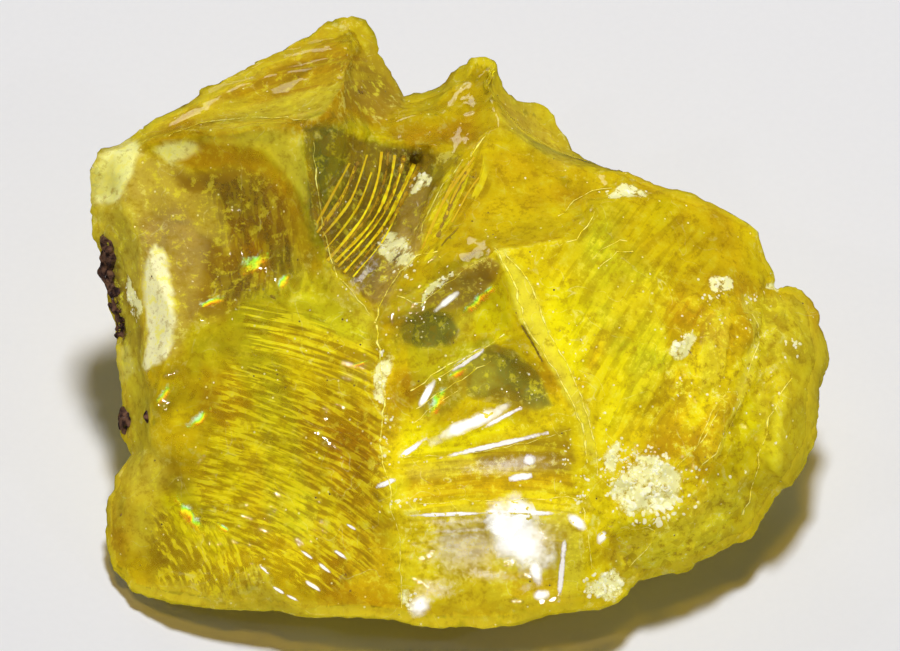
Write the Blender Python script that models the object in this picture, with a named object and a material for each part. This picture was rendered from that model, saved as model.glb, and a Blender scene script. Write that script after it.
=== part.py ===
"""A palm-sized piece of clear native sulfur, broken on every side, which rests on one flat break.

The stone is one piece. Its skin is two sheets that meet along the rim, the stone's outline as seen
square on to its display side: a near sheet, and a far sheet that holds the flat foot. Each sheet is
laid out as a net of ridges. Every fracture face between them is first stretched over its ridges as a
soap film is, and then dished, because sulfur breaks in shallow shells.

Corners of the near sheet are (right, up, out) in millimetres, seen square on to the display side.
Corners of the far sheet are (x, y, z) in millimetres, as the stone stands.
"""

import math

import bmesh
import bpy
import numpy as np
from mathutils import Matrix, Vector, geometry, noise

MM = 0.001
SIGHT_DROP = math.radians(50)  # the display side is looked down on at this angle
LAYOUT_HEIGHT = 15.0  # height above the foot of the point where right, up and out are zero
NEAR_SPACING = 1.25  # between neighbouring vertices of the near sheet
FAR_SPACING = 2.1
LONGEST_EDGE = 1.75  # in spacings: steep faces are split until no edge is longer
CLEAR_OF_RIDGE = 0.72  # in spacings: free vertices keep this far from a ridge
WANDER = 0.45  # about twice how far a ridge wanders off its straight line
WANDER_SCALE = 0.42  # wanders to the millimetre
WANDER_OFFSETS = (Vector((31.7, 0.0, 0.0)), Vector((0.0, 47.3, 0.0)), Vector((0.0, 0.0, 23.9)))
RELAX_ROUNDS = 2  # stretching and splitting in turn
SPLIT_ROUNDS = 6
MERGE_DISTANCE = 1e-3  # in millimetres, well under any edge
SULFUR_YELLOW = (0.80, 0.66, 0.03, 1.0)
SULFUR_ROUGHNESS = 0.12
SULFUR_IOR = 2.0

RIM = {
    "shoulder_low": (-24.8, 7.5, -4.5),
    "shoulder_tip": (-25.0, 10.6, -4.0),
    "shoulder_top": (-24.2, 12.0, -5.0),
    "crest_low": (-21.2, 13.5, -5.6),
    "crest_mid": (-17.2, 15.9, -6.6),
    "crest_high": (-13.0, 18.4, -8.0),
    "horn_left": (-9.2, 20.6, -9.6),
    "horn_tip": (-7.4, 21.2, -10.3),
    "horn_right": (-6.2, 20.9, -10.6),
    "horn_side": (-4.7, 18.0, -11.0),
    "horn_foot": (-3.5, 15.8, -11.0),
    "saddle": (-1.6, 16.2, -11.3),
    "peak_foot": (-0.3, 17.3, -10.5),
    "peak_left": (1.3, 18.5, -9.0),
    "peak_tip": (2.8, 18.3, -9.0),
    "peak_side": (3.3, 16.4, -9.5),
    "tail_top": (4.3, 15.6, -10.3),
    "tail_mid": (5.9, 15.4, -11.2),
    "tail_bend": (6.9, 14.5, -11.5),
    "tail_low": (7.9, 12.2, -10.5),
    "tail_end": (9.4, 11.3, -8.0),
    "eave_left": (11.8, 10.5, -2.8),
    "eave_mid": (16.6, 8.5, -2.2),
    "eave_right": (19.3, 7.4, -2.6),
    "corner_top": (20.7, 6.5, -3.0),
    "corner_low": (21.1, 4.8, -3.6),
    "notch": (21.9, 2.5, -4.5),
    "lobe_top": (23.4, 2.3, -5.5),
    "lobe_shoulder": (24.5, 1.2, -6.0),
    "lobe_side": (25.0, -2.4, -5.7),
    "lobe_waist": (24.3, -4.2, -5.0),
    "lobe_low": (24.3, -7.8, -4.0),
    "flank_high": (22.3, -11.2, -3.0),
    "flank_mid": (21.2, -12.9, -2.5),
    "flank_low": (20.2, -14.6, -2.0),
    "keel_right": (18.9, -14.9, -1.5),
    "keel_mid": (16.5, -16.1, -0.5),
    "keel_left": (12.5, -17.3, 0.5),
    "toe_right": (11.4, -18.6, 2.0),
    "toe_fin": (8.8, -19.4, 2.7),
    "toe_mid": (3.1, -20.4, 3.5),
    "toe_low": (-1.0, -20.6, 3.5),
    "toe_left": (-3.2, -20.3, 3.5),
    "hem_right": (-4.2, -19.9, 3.4),
    "hem_mid": (-10.4, -19.8, 2.0),
    "hem_left": (-13.6, -19.4, 1.0),
    "hem_end": (-17.3, -19.2, 0.0),
    "heel_right": (-19.8, -18.8, -1.0),
    "heel": (-22.0, -18.1, -2.5),
    "heel_left": (-23.3, -16.7, -3.8),
    "bulge_low": (-23.9, -14.5, -4.5),
    "bulge_high": (-23.9, -12.2, -4.5),
    "bulge_top": (-23.2, -10.3, -4.5),
    "neck": (-22.1, -8.8, -4.3),
    "waist_low": (-22.9, -7.6, -4.5),
    "waist": (-22.8, -5.4, -4.5),
    "waist_high": (-23.2, -2.5, -4.7),
    "cheek_low": (-23.3, 0.3, -5.0),
    "cheek": (-23.8, 3.0, -5.0),
    "cheek_high": (-24.3, 5.0, -5.0),
}

NEAR_CORNERS = {
    # the brow, the highest ridge, and the horn behind it
    "brow_left": (-21.8, 11.9, -3.0),
    "brow_low": (-19.6, 13.0, -1.8),
    "brow_mid": (-16.5, 13.4, -0.3),
    "brow_high": (-13.0, 13.7, 0.6),
    "brow_end": (-10.4, 13.4, 1.0),
    "horn_root": (-8.8, 14.4, 0.0),
    "horn_low": (-7.5, 16.5, -3.0),
    "horn_high": (-7.2, 19.0, -6.8),
    # the cheek, down the left side
    "cheekbone": (-22.6, 8.4, -2.0),
    "temple_high": (-21.4, 5.8, 0.0),
    "temple_mid": (-19.2, 1.0, 2.0),
    "temple_low": (-19.5, -2.4, 2.2),
    "jaw": (-20.6, -6.0, 1.0),
    "sliver_high": (-21.4, 2.0, -0.8),
    "sliver_low": (-20.9, -3.1, 0.4),
    # the bulge at the lower left
    "bulge_root": (-20.7, -8.3, -1.0),
    "bulge_mid": (-21.6, -11.2, -1.3),
    "bulge_foot": (-22.4, -14.6, -2.6),
    "bulge_spur": (-18.6, -8.7, 1.3),
    # the big left face, from its bowl to its hem
    "bowl_left": (-14.6, 1.7, 2.2),
    "bowl_right": (-9.8, 1.8, 2.8),
    "hem_inner_left": (-14.6, -17.2, 2.4),
    "hem_inner_mid": (-13.1, -17.0, 2.7),
    "hem_inner_right": (-11.4, -18.5, 2.4),
    # the spur between the bowl and the gully
    "spur_top": (-10.2, 11.9, 1.5),
    "spur_high": (-9.7, 8.5, 2.5),
    "spur_low": (-8.8, 4.4, 3.0),
    "spur_foot": (-6.8, 1.7, 3.0),
    "hub": (-5.3, 0.2, 3.0),
    # the gully
    "gate_left": (-7.0, 13.1, -2.5),
    "gate": (-5.6, 13.2, -5.0),
    "sill_left": (-3.7, 12.7, -4.5),
    "sill_mid": (-1.6, 12.4, -4.0),
    "sill_right": (0.0, 11.7, -3.5),
    "gully_top": (-2.7, 11.0, -5.6),
    "gully_mid": (-4.1, 7.5, -3.6),
    "gully_low": (-5.8, 3.7, -0.4),
    # the peak, and the tail behind the eave
    "shelf_left": (-3.6, 14.3, -6.5),
    "shelf_right": (-0.7, 14.5, -6.0),
    "peak_high": (2.2, 16.6, -7.0),
    "peak_low": (2.8, 14.9, -5.0),
    "collar_top": (3.1, 13.6, -3.2),
    "tail_foot_left": (3.9, 14.1, -7.0),
    "tail_foot_mid": (5.5, 12.9, -9.3),
    "tail_foot_right": (7.6, 11.7, -9.2),
    # the collar, the long right wall of the gully
    "collar_left": (1.2, 12.0, -2.2),
    "collar_high": (-0.2, 9.8, -0.5),
    "collar_mid": (-2.0, 6.4, 1.5),
    "collar_low": (-3.7, 3.1, 2.5),
    "eave_start": (5.1, 12.2, -3.0),
    "eave_second": (7.1, 11.1, -2.6),
    "eave_third": (9.2, 10.3, -2.4),
    # the crown, the middle of the display side
    "under_left": (-3.7, 1.7, 3.5),
    "under_right": (-1.0, 3.1, 4.0),
    "crown": (2.8, 5.1, 5.0),
    "roof_left": (7.1, 5.8, 4.0),
    "roof_right": (10.5, 8.8, 0.3),
    "edge_top": (4.1, 2.4, 5.5),
    "edge_high": (4.7, -0.3, 5.5),
    "edge_mid": (6.3, -3.1, 5.5),
    "edge_low": (7.8, -6.7, 5.5),
    "edge_foot": (8.5, -9.5, 5.0),
    "knee": (8.3, -12.5, 5.0),
    "fin": (8.7, -15.9, 4.5),
    # the healed crack under the hub
    "crack_top": (-5.5, -2.4, 3.5),
    "crack_high": (-5.3, -5.0, 4.0),
    "crack_mid": (-5.2, -8.8, 4.8),
    "crack_low": (-4.9, -10.5, 5.0),
    "ankle": (-4.3, -12.4, 5.5),
    "shin_high": (-3.5, -14.6, 5.2),
    "shin_low": (-3.3, -18.0, 4.0),
    # the window, its vein and the steps below it
    "vein_left": (-1.7, -3.4, 3.6),
    "vein_right": (1.7, -1.6, 4.3),
    "rib_left": (-2.4, -8.6, 4.8),
    "rib_mid": (1.0, -7.5, 5.0),
    "rib_right": (4.4, -6.8, 5.2),
    "step_left": (-0.3, -12.7, 6.0),
    "step_right": (4.4, -12.7, 6.0),
    # the rough right side
    "crush_top": (11.5, -7.8, 5.0),
    "crush_right": (14.6, -9.6, 4.5),
    "pocket": (12.5, -13.3, 4.0),
    "break_low": (13.2, -5.1, 5.0),
    "break_mid": (14.7, -1.7, 4.5),
    "break_high": (16.6, 1.0, 3.0),
    "break_top": (19.3, 2.4, 0.0),
    "keel_start": (13.4, -14.9, 3.0),
    "keel_bend": (15.9, -12.2, 3.5),
    "keel_end": (19.3, -10.7, 1.5),
    "rough_low": (17.0, -8.5, 4.0),
    "rough_mid": (18.0, -5.1, 3.8),
    "rough_high": (19.6, -0.3, 1.6),
    "lobe_seam_low": (21.4, -8.0, 0.8),
    "lobe_seam_mid": (22.0, -4.7, 0.4),
    "lobe_seam_high": (22.7, -1.0, -1.6),
}

NEAR_RIDGES = [
    "shoulder_top brow_left brow_low brow_mid brow_high brow_end horn_root horn_low horn_high horn_tip",
    "brow_left cheekbone shoulder_low",
    "cheekbone temple_high temple_mid temple_low jaw bulge_root neck",
    "temple_high sliver_high sliver_low temple_low",
    "bulge_root bulge_mid bulge_foot heel",
    "bulge_root bulge_spur",
    "temple_low bowl_left bowl_right spur_foot",
    "hem_end hem_inner_left hem_inner_mid hem_inner_right hem_mid",
    "brow_end spur_top spur_high spur_low spur_foot hub",
    "horn_root gate_left gate shelf_left horn_foot",
    "gate sill_left sill_mid sill_right collar_left",
    "gate_left spur_top",
    "sill_mid gully_top gully_mid gully_low hub",
    "shelf_left shelf_right peak_foot",
    "peak_tip peak_high peak_low collar_top collar_left",
    "collar_left collar_high collar_mid collar_low hub",
    "collar_top eave_start eave_second eave_third eave_left",
    "peak_low tail_foot_left tail_foot_mid tail_foot_right tail_end",
    "hub under_left under_right crown",
    "crown roof_left roof_right eave_left",
    "crown edge_top edge_high edge_mid edge_low edge_foot knee fin toe_fin",
    "hub crack_top crack_high crack_mid crack_low ankle shin_high shin_low toe_left",
    "crack_high vein_left vein_right edge_high",
    "crack_mid rib_left rib_mid rib_right edge_low",
    "ankle step_left step_right knee",
    "edge_foot crush_top break_low break_mid break_high break_top notch",
    "crush_top crush_right keel_bend",
    "knee pocket keel_start",
    "keel_left keel_start keel_bend keel_end flank_high",
    "keel_bend rough_low rough_mid rough_high break_top",
    "flank_mid keel_end lobe_seam_low lobe_seam_mid lobe_seam_high lobe_top",
]

# Each near face: a point inside it, and how deep it is dished. A negative dish swells outwards.
NEAR_FACES = {
    "pale_cap": ((-23.8, 10.3), 0.3),
    "back_slope": ((-13.0, 16.0), 1.1),
    "horn_wall": ((-5.8, 17.0), 0.7),
    "cheek_wall": ((-22.8, 4.5), 0.3),
    "sliver": ((-20.6, 1.0), 0.1),
    "bowl": ((-15.5, 8.0), 2.4),
    "ripple_face": ((-13.0, -8.0), 1.2),
    "bulge": ((-23.0, -12.5), -0.2),
    "hem": ((-14.0, -18.5), 0.2),
    "gully_left": ((-6.5, 9.0), 0.9),
    "gully_right": ((-2.2, 9.0), 0.5),
    "gate_wall": ((-8.8, 13.2), 0.2),
    "golden_shelf": ((-1.0, 13.3), 0.5),
    "saddle_face": ((-2.0, 15.2), 0.3),
    "tail": ((5.6, 14.3), 0.4),
    "collar_face": ((3.0, 9.0), 0.7),
    "glow_face": ((11.5, 1.0), -0.6),
    "window_high": ((0.5, 1.0), 1.3),
    "window_low": ((1.5, -5.0), 1.1),
    "step_face": ((2.0, -10.5), 0.5),
    "toe_face": ((2.5, -16.5), 0.35),
    "crush": ((11.5, -10.5), 0.3),
    "fin_face": ((10.3, -16.0), 0.3),
    "keel_face": ((17.0, -14.0), -0.3),
    "rough_face": ((17.0, -2.5), 0.2),
    "rough_flank": ((20.0, -5.0), 0.4),
    "lobe": ((23.6, -3.0), -0.5),
}

FOOT = {
    "foot_left": (-17.5, 2.0, 0.0),
    "foot_heel": (-15.5, -5.5, 0.0),
    "foot_hem": (-9.5, -10.8, 0.0),
    "foot_dent": (-3.5, -8.4, 0.0),
    "foot_toe": (3.5, -11.6, 0.0),
    "foot_keel": (11.5, -7.4, 0.0),
    "foot_right": (15.2, 0.8, 0.0),
    "foot_corner": (10.8, 6.6, 0.0),
    "foot_tail": (5.0, 12.4, 0.0),
    "foot_cleft": (-1.0, 11.2, 0.0),
    "foot_horn": (-7.0, 15.6, 0.0),
    "foot_back": (-14.5, 9.6, 0.0),
}

FAR_CORNERS = {
    "cheek_back": (-22.3, 5.0, 8.5),
    "crest_back": (-19.5, 15.0, 8.0),
    "crest_knee": (-12.0, 20.5, 9.5),
    "horn_back": (-5.0, 22.5, 8.0),
    "tail_back": (5.5, 18.5, 7.0),
    "eave_back": (11.5, 13.0, 11.0),
    "corner_back": (18.5, 8.5, 7.5),
    "lobe_back": (21.5, 0.5, 3.8),
}

FAR_RIDGES = [
    "foot_left foot_heel foot_hem foot_dent foot_toe foot_keel foot_right foot_corner foot_tail foot_cleft"
    " foot_horn foot_back foot_left",
    "cheek cheek_back foot_left",
    "cheek_back crest_back foot_back",
    "crest_low crest_back",
    "crest_back crest_knee horn_back foot_horn",
    "crest_high crest_knee",
    "horn_side horn_back",
    "horn_back tail_back tail_bend",
    "tail_back foot_tail",
    "eave_left eave_back tail_back",
    "eave_back corner_back corner_top",
    "corner_back foot_corner",
    "corner_back lobe_back foot_right",
    "lobe_side lobe_back",
    "keel_mid foot_keel",
    "toe_mid foot_toe",
    "hem_mid foot_hem",
    "heel foot_heel",
]

FAR_FACES = {
    "foot": ((0.0, 0.0, 0.0), 0.0),
    "left_wall": ((-22.0, 0.0, 5.0), 0.6),
    "left_back": ((-22.0, 10.5, 13.0), 0.7),
    "left_under": ((-19.8, 8.0, 4.0), 0.5),
    "crest_wall": ((-17.0, 18.2, 13.0), 0.8),
    "horn_wall_back": ((-8.5, 22.8, 14.0), 0.9),
    "back_under": ((-13.0, 17.5, 4.0), 0.9),
    "saddle_back": ((0.0, 20.5, 11.5), 0.8),
    "tail_under": ((-1.0, 18.5, 4.0), 0.8),
    "tail_wall": ((9.0, 15.5, 12.0), 0.5),
    "eave_wall": ((16.0, 9.5, 14.0), 0.7),
    "corner_under": ((11.0, 13.0, 5.0), 0.8),
    "lobe_wall": ((22.0, 4.5, 9.0), 0.5),
    "right_under": ((17.5, 5.0, 3.5), 0.6),
    "flank_under": ((19.5, -5.0, 3.0), 0.4),
    "keel_under": ((9.0, -12.5, 2.3), 0.4),
    "toe_under": ((-4.0, -14.5, 2.3), 0.4),
    "heel_under": ((-16.0, -11.0, 1.5), 0.3),
}


def stand(right, up, out):
    """The place of a laid-out point as the stone stands."""
    sine, cosine = math.sin(SIGHT_DROP), math.cos(SIGHT_DROP)
    return Vector((right, up * sine - out * cosine, up * cosine + out * sine + LAYOUT_HEIGHT))


def lay_out(x, y, z):
    """The (right, up, out) of a point of the standing stone."""
    sine, cosine = math.sin(SIGHT_DROP), math.cos(SIGHT_DROP)
    lift = z - LAYOUT_HEIGHT
    return Vector((x, y * sine + lift * cosine, lift * sine - y * cosine))


def wandered(point, in_plane_of_foot):
    """A ridge point, moved off its line by a smooth amount. The foot's own edge stays in its plane."""
    spot = point * WANDER_SCALE
    move = WANDER * Vector([noise.noise(spot + offset) for offset in WANDER_OFFSETS])
    if in_plane_of_foot:
        upright = Vector((0.0, math.cos(SIGHT_DROP), math.sin(SIGHT_DROP)))
        move -= upright * move.dot(upright)
    return point + move


def ridge_points(corners, names, spacing):
    """Points along a ridge, from its first corner to its last, about a spacing apart."""
    places = [Vector(corners[name]) for name in names]
    along_foot = all(name in FOOT for name in names)
    points = [places[0]]
    for start, end in zip(places, places[1:]):
        count = max(1, round((end - start).length / spacing))
        for step in range(1, count + 1):
            point = start.lerp(end, step / count)
            points.append(wandered(point, along_foot) if step < count else point)
    return points


def free_points(ridges, low, high, spacing):
    """A triangular grid of points between two corners, clear of every ridge point."""
    taken = np.array([point.xy[:] for ridge in ridges for point in ridge])
    row_height = spacing * math.sqrt(3) / 2
    rows = int((high[1] - low[1]) / row_height) + 1
    columns = int((high[0] - low[0]) / spacing) + 1
    found = []
    for row in range(rows):
        for column in range(columns):
            across = low[0] + (column + 0.5 * (row % 2)) * spacing
            spot = Vector((across, low[1] + row * row_height))
            if np.hypot(*(taken - spot[:]).T).min() > CLEAR_OF_RIDGE * spacing:
                found.append(spot)
    return found


def sheet(rim, ridges, spacing):
    """A flat-laid triangle net inside the rim, as a bmesh whose ridge edges are marked sharp."""
    lines = [rim, *ridges]
    index, points, edges = {}, [], []

    def number(point):
        key = (round(point.x, 4), round(point.y, 4))
        if key not in index:
            index[key] = len(points)
            points.append(point)
        return index[key]

    for line in lines:
        numbers = [number(point) for point in line]
        edges += [pair for pair in zip(numbers, numbers[1:]) if pair[0] != pair[1]]
    flat = np.array([point[:] for point in points])
    low, high = flat.min(axis=0), flat.max(axis=0)
    spots = [point.xy for point in points] + free_points(lines, low, high, spacing)
    inside_only, tolerance = 1, 1e-5
    places, links, triangles, sources, link_sources, _ = geometry.delaunay_2d_cdt(
        spots, edges, [], inside_only, tolerance
    )
    net = bmesh.new()
    for place, source in zip(places, sources):
        known = [number for number in source if number < len(points)]
        out = points[known[0]].z if known else 0.0
        net.verts.new((place.x, place.y, out))
    net.verts.ensure_lookup_table()
    for triangle in triangles:
        net.faces.new([net.verts[number] for number in triangle])
    for link, source in zip(links, link_sources):
        edge = net.edges.get([net.verts[number] for number in link])
        if edge is not None:
            edge.smooth = not source
    outside = [vert for vert in net.verts if not vert.link_faces]
    bmesh.ops.delete(net, geom=outside, context="VERTS")
    return net


def pinned(vert):
    """True for a vertex on a ridge or on the rim."""
    return any(not edge.smooth or edge.is_boundary for edge in vert.link_edges)


def relax(net, pull=None):
    """Moves the free vertices to where each is the mean of its neighbours, plus its pull."""
    net.verts.ensure_lookup_table()
    net.verts.index_update()
    free = [vert for vert in net.verts if not pinned(vert)]
    row_of = {vert.index: row for row, vert in enumerate(free)}
    weights = np.eye(len(free))
    target = np.zeros((len(free), 3))
    for row, vert in enumerate(free):
        share = 1.0 / len(vert.link_edges)
        for edge in vert.link_edges:
            other = edge.other_vert(vert)
            if other.index in row_of:
                weights[row, row_of[other.index]] -= share
            elif pull is None:
                target[row] += share * np.array(other.co)
        if pull is not None:
            target[row] = pull
    return free, np.linalg.solve(weights, target)


def split_long_edges(net, longest):
    """Splits the edges of steep faces, and turns edges so that the triangles stay even."""
    for _ in range(SPLIT_ROUNDS):
        inner = [edge for edge in net.edges if not edge.is_boundary]
        long_edges = [edge for edge in inner if edge.calc_length() > longest]
        if not long_edges:
            break
        bmesh.ops.subdivide_edges(net, edges=long_edges, cuts=1)
        bmesh.ops.triangulate(net, faces=net.faces[:])
        soft = [edge for edge in net.edges if edge.smooth and not edge.is_boundary]
        bmesh.ops.beautify_fill(net, faces=net.faces[:], edges=soft)


def face_at(net, spot):
    """The triangle of the flat-laid net that holds a spot."""
    for face in net.faces:
        if geometry.intersect_point_tri_2d(spot, *[vert.co.xy for vert in face.verts]):
            return face
    raise ValueError(f"no face holds {spot}")


def patch_from(seed):
    """The triangles reached from a seed without crossing a ridge."""
    patch, waiting = {seed}, [seed]
    while waiting:
        for edge in waiting.pop().edges:
            if edge.smooth:
                new = [face for face in edge.link_faces if face not in patch]
                patch.update(new)
                waiting += new
    return patch


def dish(net, faces):
    """Dishes each named face of a relaxed net along its normals, deepest in its middle."""
    free, sag = relax(net, pull=(1.0, 1.0, 1.0))
    sag_of = {vert: amount[0] for vert, amount in zip(free, sag)}
    moves = {}
    for name, (spot, depth) in faces.items():
        patch = patch_from(face_at(net, Vector(spot).xy))
        inner = {vert for face in patch for vert in face.verts if vert in sag_of}
        if not inner or depth == 0:
            continue
        deepest = max(sag_of[vert] for vert in inner)
        for vert in inner:
            moves[vert] = -vert.normal * depth * sag_of[vert] / deepest
    for vert, move in moves.items():
        vert.co += move


def build_sheet(rim, corners, ridges, faces, spacing):
    """One finished sheet of the skin, in laid-out millimetres, its faces looking along +out."""
    lines = [ridge_points(corners, names.split(), spacing) for names in ridges]
    net = sheet(rim, lines, spacing)
    bmesh.ops.recalc_face_normals(net, faces=net.faces[:])
    if sum(face.normal.z for face in net.faces) < 0:
        bmesh.ops.reverse_faces(net, faces=net.faces[:])
    for _ in range(RELAX_ROUNDS):
        free, places = relax(net)
        for vert, place in zip(free, places):
            vert.co = place
        split_long_edges(net, LONGEST_EDGE * spacing)
    free, places = relax(net)
    for vert, place in zip(free, places):
        vert.co = place
    net.normal_update()
    dish(net, faces)
    return net


def skin():
    """The closed skin of the stone, in laid-out millimetres."""
    rim = ridge_points(RIM, [*RIM, next(iter(RIM))], NEAR_SPACING)
    near = build_sheet(rim, {**RIM, **NEAR_CORNERS}, NEAR_RIDGES, NEAR_FACES, NEAR_SPACING)
    hidden = {name: lay_out(*place) for name, place in {**FOOT, **FAR_CORNERS}.items()}
    far_faces = {name: (lay_out(*place), -depth) for name, (place, depth) in FAR_FACES.items()}
    far = build_sheet(rim, {**RIM, **hidden}, FAR_RIDGES, far_faces, FAR_SPACING)
    bmesh.ops.reverse_faces(far, faces=far.faces[:])
    whole = bpy.data.meshes.new("far_sheet")
    far.to_mesh(whole)
    near.from_mesh(whole)
    bpy.data.meshes.remove(whole)
    bmesh.ops.remove_doubles(near, verts=near.verts[:], dist=MERGE_DISTANCE)
    return near


def finish_of_sulfur():
    """Clear lemon-yellow sulfur with a resinous gloss."""
    material = bpy.data.materials.new("sulfur")
    material.use_nodes = True
    shader = material.node_tree.nodes["Principled BSDF"]
    shader.inputs["Base Color"].default_value = SULFUR_YELLOW
    shader.inputs["Roughness"].default_value = SULFUR_ROUGHNESS
    shader.inputs["Metallic"].default_value = 0.0
    shader.inputs["IOR"].default_value = SULFUR_IOR
    return material


def build_stone():
    """The stone, standing on its foot, with the middle of its box over the origin."""
    net = skin()
    for vert in net.verts:
        vert.co = stand(*vert.co) * MM
    places = np.array([vert.co[:] for vert in net.verts])
    middle = (places.min(axis=0) + places.max(axis=0)) / 2
    bmesh.ops.translate(net, verts=net.verts[:], vec=(-middle[0], -middle[1], 0.0))
    bmesh.ops.triangulate(net, faces=net.faces[:])
    mesh = bpy.data.meshes.new("sulfur_crystal")
    net.to_mesh(mesh)
    net.free()
    mesh.materials.append(finish_of_sulfur())
    stone = bpy.data.objects.new("sulfur_crystal", mesh)
    bpy.context.scene.collection.objects.link(stone)
    return stone


def main():
    for old in list(bpy.data.objects):
        bpy.data.objects.remove(old)
    build_stone()


main()
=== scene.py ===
"""Clear native sulfur: the looks of one broken stone, 50 mm wide.

The stone's skin starts from the coarse solid in the frame. It is smoothed between its ridges, and its
faces get the ripples, bruises and chips of a shell-like break. A clouded heart is sealed in it. Brown
wisps, films of painted sheen, painted rainbow glints, painted white highlights, cracks painted white that
also stand for highlights, ribs with painted shade beside them and pale ridge lines lie along its skin, and
crumbs of matrix and crushed flakes with a faint painted glow stick to it. Places on the display side are
given as (right, up), in millimetres.
"""

import math
import random

import bpy
import numpy as np
from bpy.props import FloatProperty, FloatVectorProperty, PointerProperty
from mathutils import Euler, Matrix, Vector, noise
from mathutils.geometry import interpolate_bezier


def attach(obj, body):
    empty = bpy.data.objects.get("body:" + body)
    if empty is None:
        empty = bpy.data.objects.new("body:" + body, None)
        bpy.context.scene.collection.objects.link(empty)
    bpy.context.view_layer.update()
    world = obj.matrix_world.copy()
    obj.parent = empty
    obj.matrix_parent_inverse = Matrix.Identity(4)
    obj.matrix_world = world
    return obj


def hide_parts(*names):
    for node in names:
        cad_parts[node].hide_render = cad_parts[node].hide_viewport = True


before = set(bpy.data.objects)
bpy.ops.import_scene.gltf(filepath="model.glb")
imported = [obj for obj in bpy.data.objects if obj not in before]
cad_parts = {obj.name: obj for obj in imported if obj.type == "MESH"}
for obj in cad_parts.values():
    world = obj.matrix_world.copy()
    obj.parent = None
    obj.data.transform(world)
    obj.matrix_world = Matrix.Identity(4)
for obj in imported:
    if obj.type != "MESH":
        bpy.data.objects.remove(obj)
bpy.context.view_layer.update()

bl_info = {
    "name": "Sulfur Stone",
    "version": (1, 0, 0),
    "blender": (4, 5, 0),
    "location": "3D View > Sidebar > Sulfur",
    "description": "Models a broken piece of clear native sulfur and its plain studio",
    "category": "Object",
}

MM = 0.001
SIGHT_DROP = math.radians(50)  # the display side is looked down on at this angle
LAYOUT_ZERO = Vector((0.0, -2.41, 15.0)) * MM  # where right, up and out are zero
TO_LAYOUT = Matrix.Rotation(-(math.pi / 2 - SIGHT_DROP), 3, "X")  # turns the display side face up


def stand(right, up, out):
    """The place in metres of a point laid out on the display side in millimetres."""
    return LAYOUT_ZERO + MM * (TO_LAYOUT.inverted() @ Vector((right, up, out)))


def laid_out(places):
    """An array of places in metres as (right, up, out) in millimetres."""
    return (places - np.array(LAYOUT_ZERO)) @ np.array(TO_LAYOUT).T / MM


# Cutting and laying. Lengths written with MM are in metres, and the others in millimetres.
MERGE_DISTANCE = 0.002 * MM  # corners closer than this are one
PAIR_ANGLE = math.radians(8)  # triangles flatter than this to each other are paired
PAIR_SKEW = math.radians(60)  # and pairs less skewed than this
MIDDLE = (0.0, 0.0, 11.0 * MM)  # about the middle of the stone's bulk
FOOT_HEIGHT = 0.8 * MM  # below this the stone keeps its flat foot
STRIP_STEP = 0.35  # the strips' faces are about this long
STRIP_START = 18.0  # how far out the strips start
RAY_START = 40.0  # how far out the search for a chip's place starts
LEG_LENGTH = 0.7  # of the straight parts of a line
LEG_OVERLAP = 1.12  # how much longer each is, so that they run into one another
LINE_THICKNESS = 0.07
LINE_SWING = 0.7  # how much a line's width wanders, as a share of it
TRACE = 0.01  # a weight below this is none
SPLIT_SHARE = 0.05  # a face within a patch by more than this is split

# Wander of the soft edges: the size and reach of its slow and quick parts, and their starts in the noise.
SLOW_WANDER = (2.2, 0.7, (3.1, 7.7))
QUICK_WANDER = (0.7, 0.25, (1.3, 5.9))
# How soon a face counts as part of the display side, and how soon as part of the far side.
FACING_SLOPE, FACING_START = 4.0, 0.6
HIDDEN_SLOPE, HIDDEN_START = 2.5, 0.25
DRIFT_SIZE = 6.5  # of the drift from lemon to amber and to lime
WARM_FROM, WARM_OVER = 0.62, 0.25  # where it turns to amber
COOL_FROM, COOL_OVER = 0.34, 0.20  # where it turns to lime
PATCH_DEPTH, PATCH_LEAST, PATCH_MOST = 0.25, -0.6, 0.2  # darker and lighter patches within a tone

# Sizes of the lumps and cells that the skin and the heart are pushed by.
SWELL_SIZE, RUBBLE_SIZE, GRIT_SIZE, CHIP_SIZE = 6.0, 2.6, 0.9, 0.55
GRIT_SHARE = 0.5  # of the rubble's height
CHIP_LEVEL = 0.62  # most of the pattern lies below this, so the chips mostly cut in
HEART_LUMP_SIZE, HEART_FACET_SIZE = 5.0, 3.5
HEART_LEVEL = 0.7  # most of the pattern lies below this, so the heart's lumps mostly cut in
HEART_EDGE = math.radians(25)  # the heart's edges sharper than this stay hard
BROAD_FROM, BROAD_OVER = 0.5, 0.4  # how squarely a part of the heart faces front or back to be pushed
RIM_SLOPE = 0.6  # skin that faces front or back more squarely than this is no rim
RIM_EDGE, WINDOW_EDGE = 2.0, 0.5  # the soft edges of these two areas
EDGE_CLOUDING = 0.9  # of rims and of skin with no heart close behind it
CRUMB_CELL, CRUMB_EDGE = 0.7, math.radians(28)
LANE = 10.0  # how far apart two sets of ripples lie in the noise
RIPPLE_STRENGTH = 1.4  # how steeply noise turns into crests and hollows

# Chips of a cluster: how tightly they crowd its middle, and how much their size, tilt, width and
# flatness vary; and how far each is sunk, as a share of its radius.
CROWDING = 0.6
CHIP_SIZES, CHIP_TILTS, CHIP_WIDTHS, CHIP_FLATS = (0.5, 1.3), (-0.4, 0.4), (0.5, 0.95), (0.7, 1.3)
CHIP_SINK = 0.15

# The studio.
VIEW_TARGET = stand(-0.34, 0.0, 0.0)  # the camera and the lamps look here
FLOOR_SIZE, FLOOR_HEIGHT = 4.0, -0.00002  # in metres; it lies just under the foot
SENSOR_WIDTH = 36.0  # of the camera, in millimetres
LIGHT_BOUNCES = 10
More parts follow.
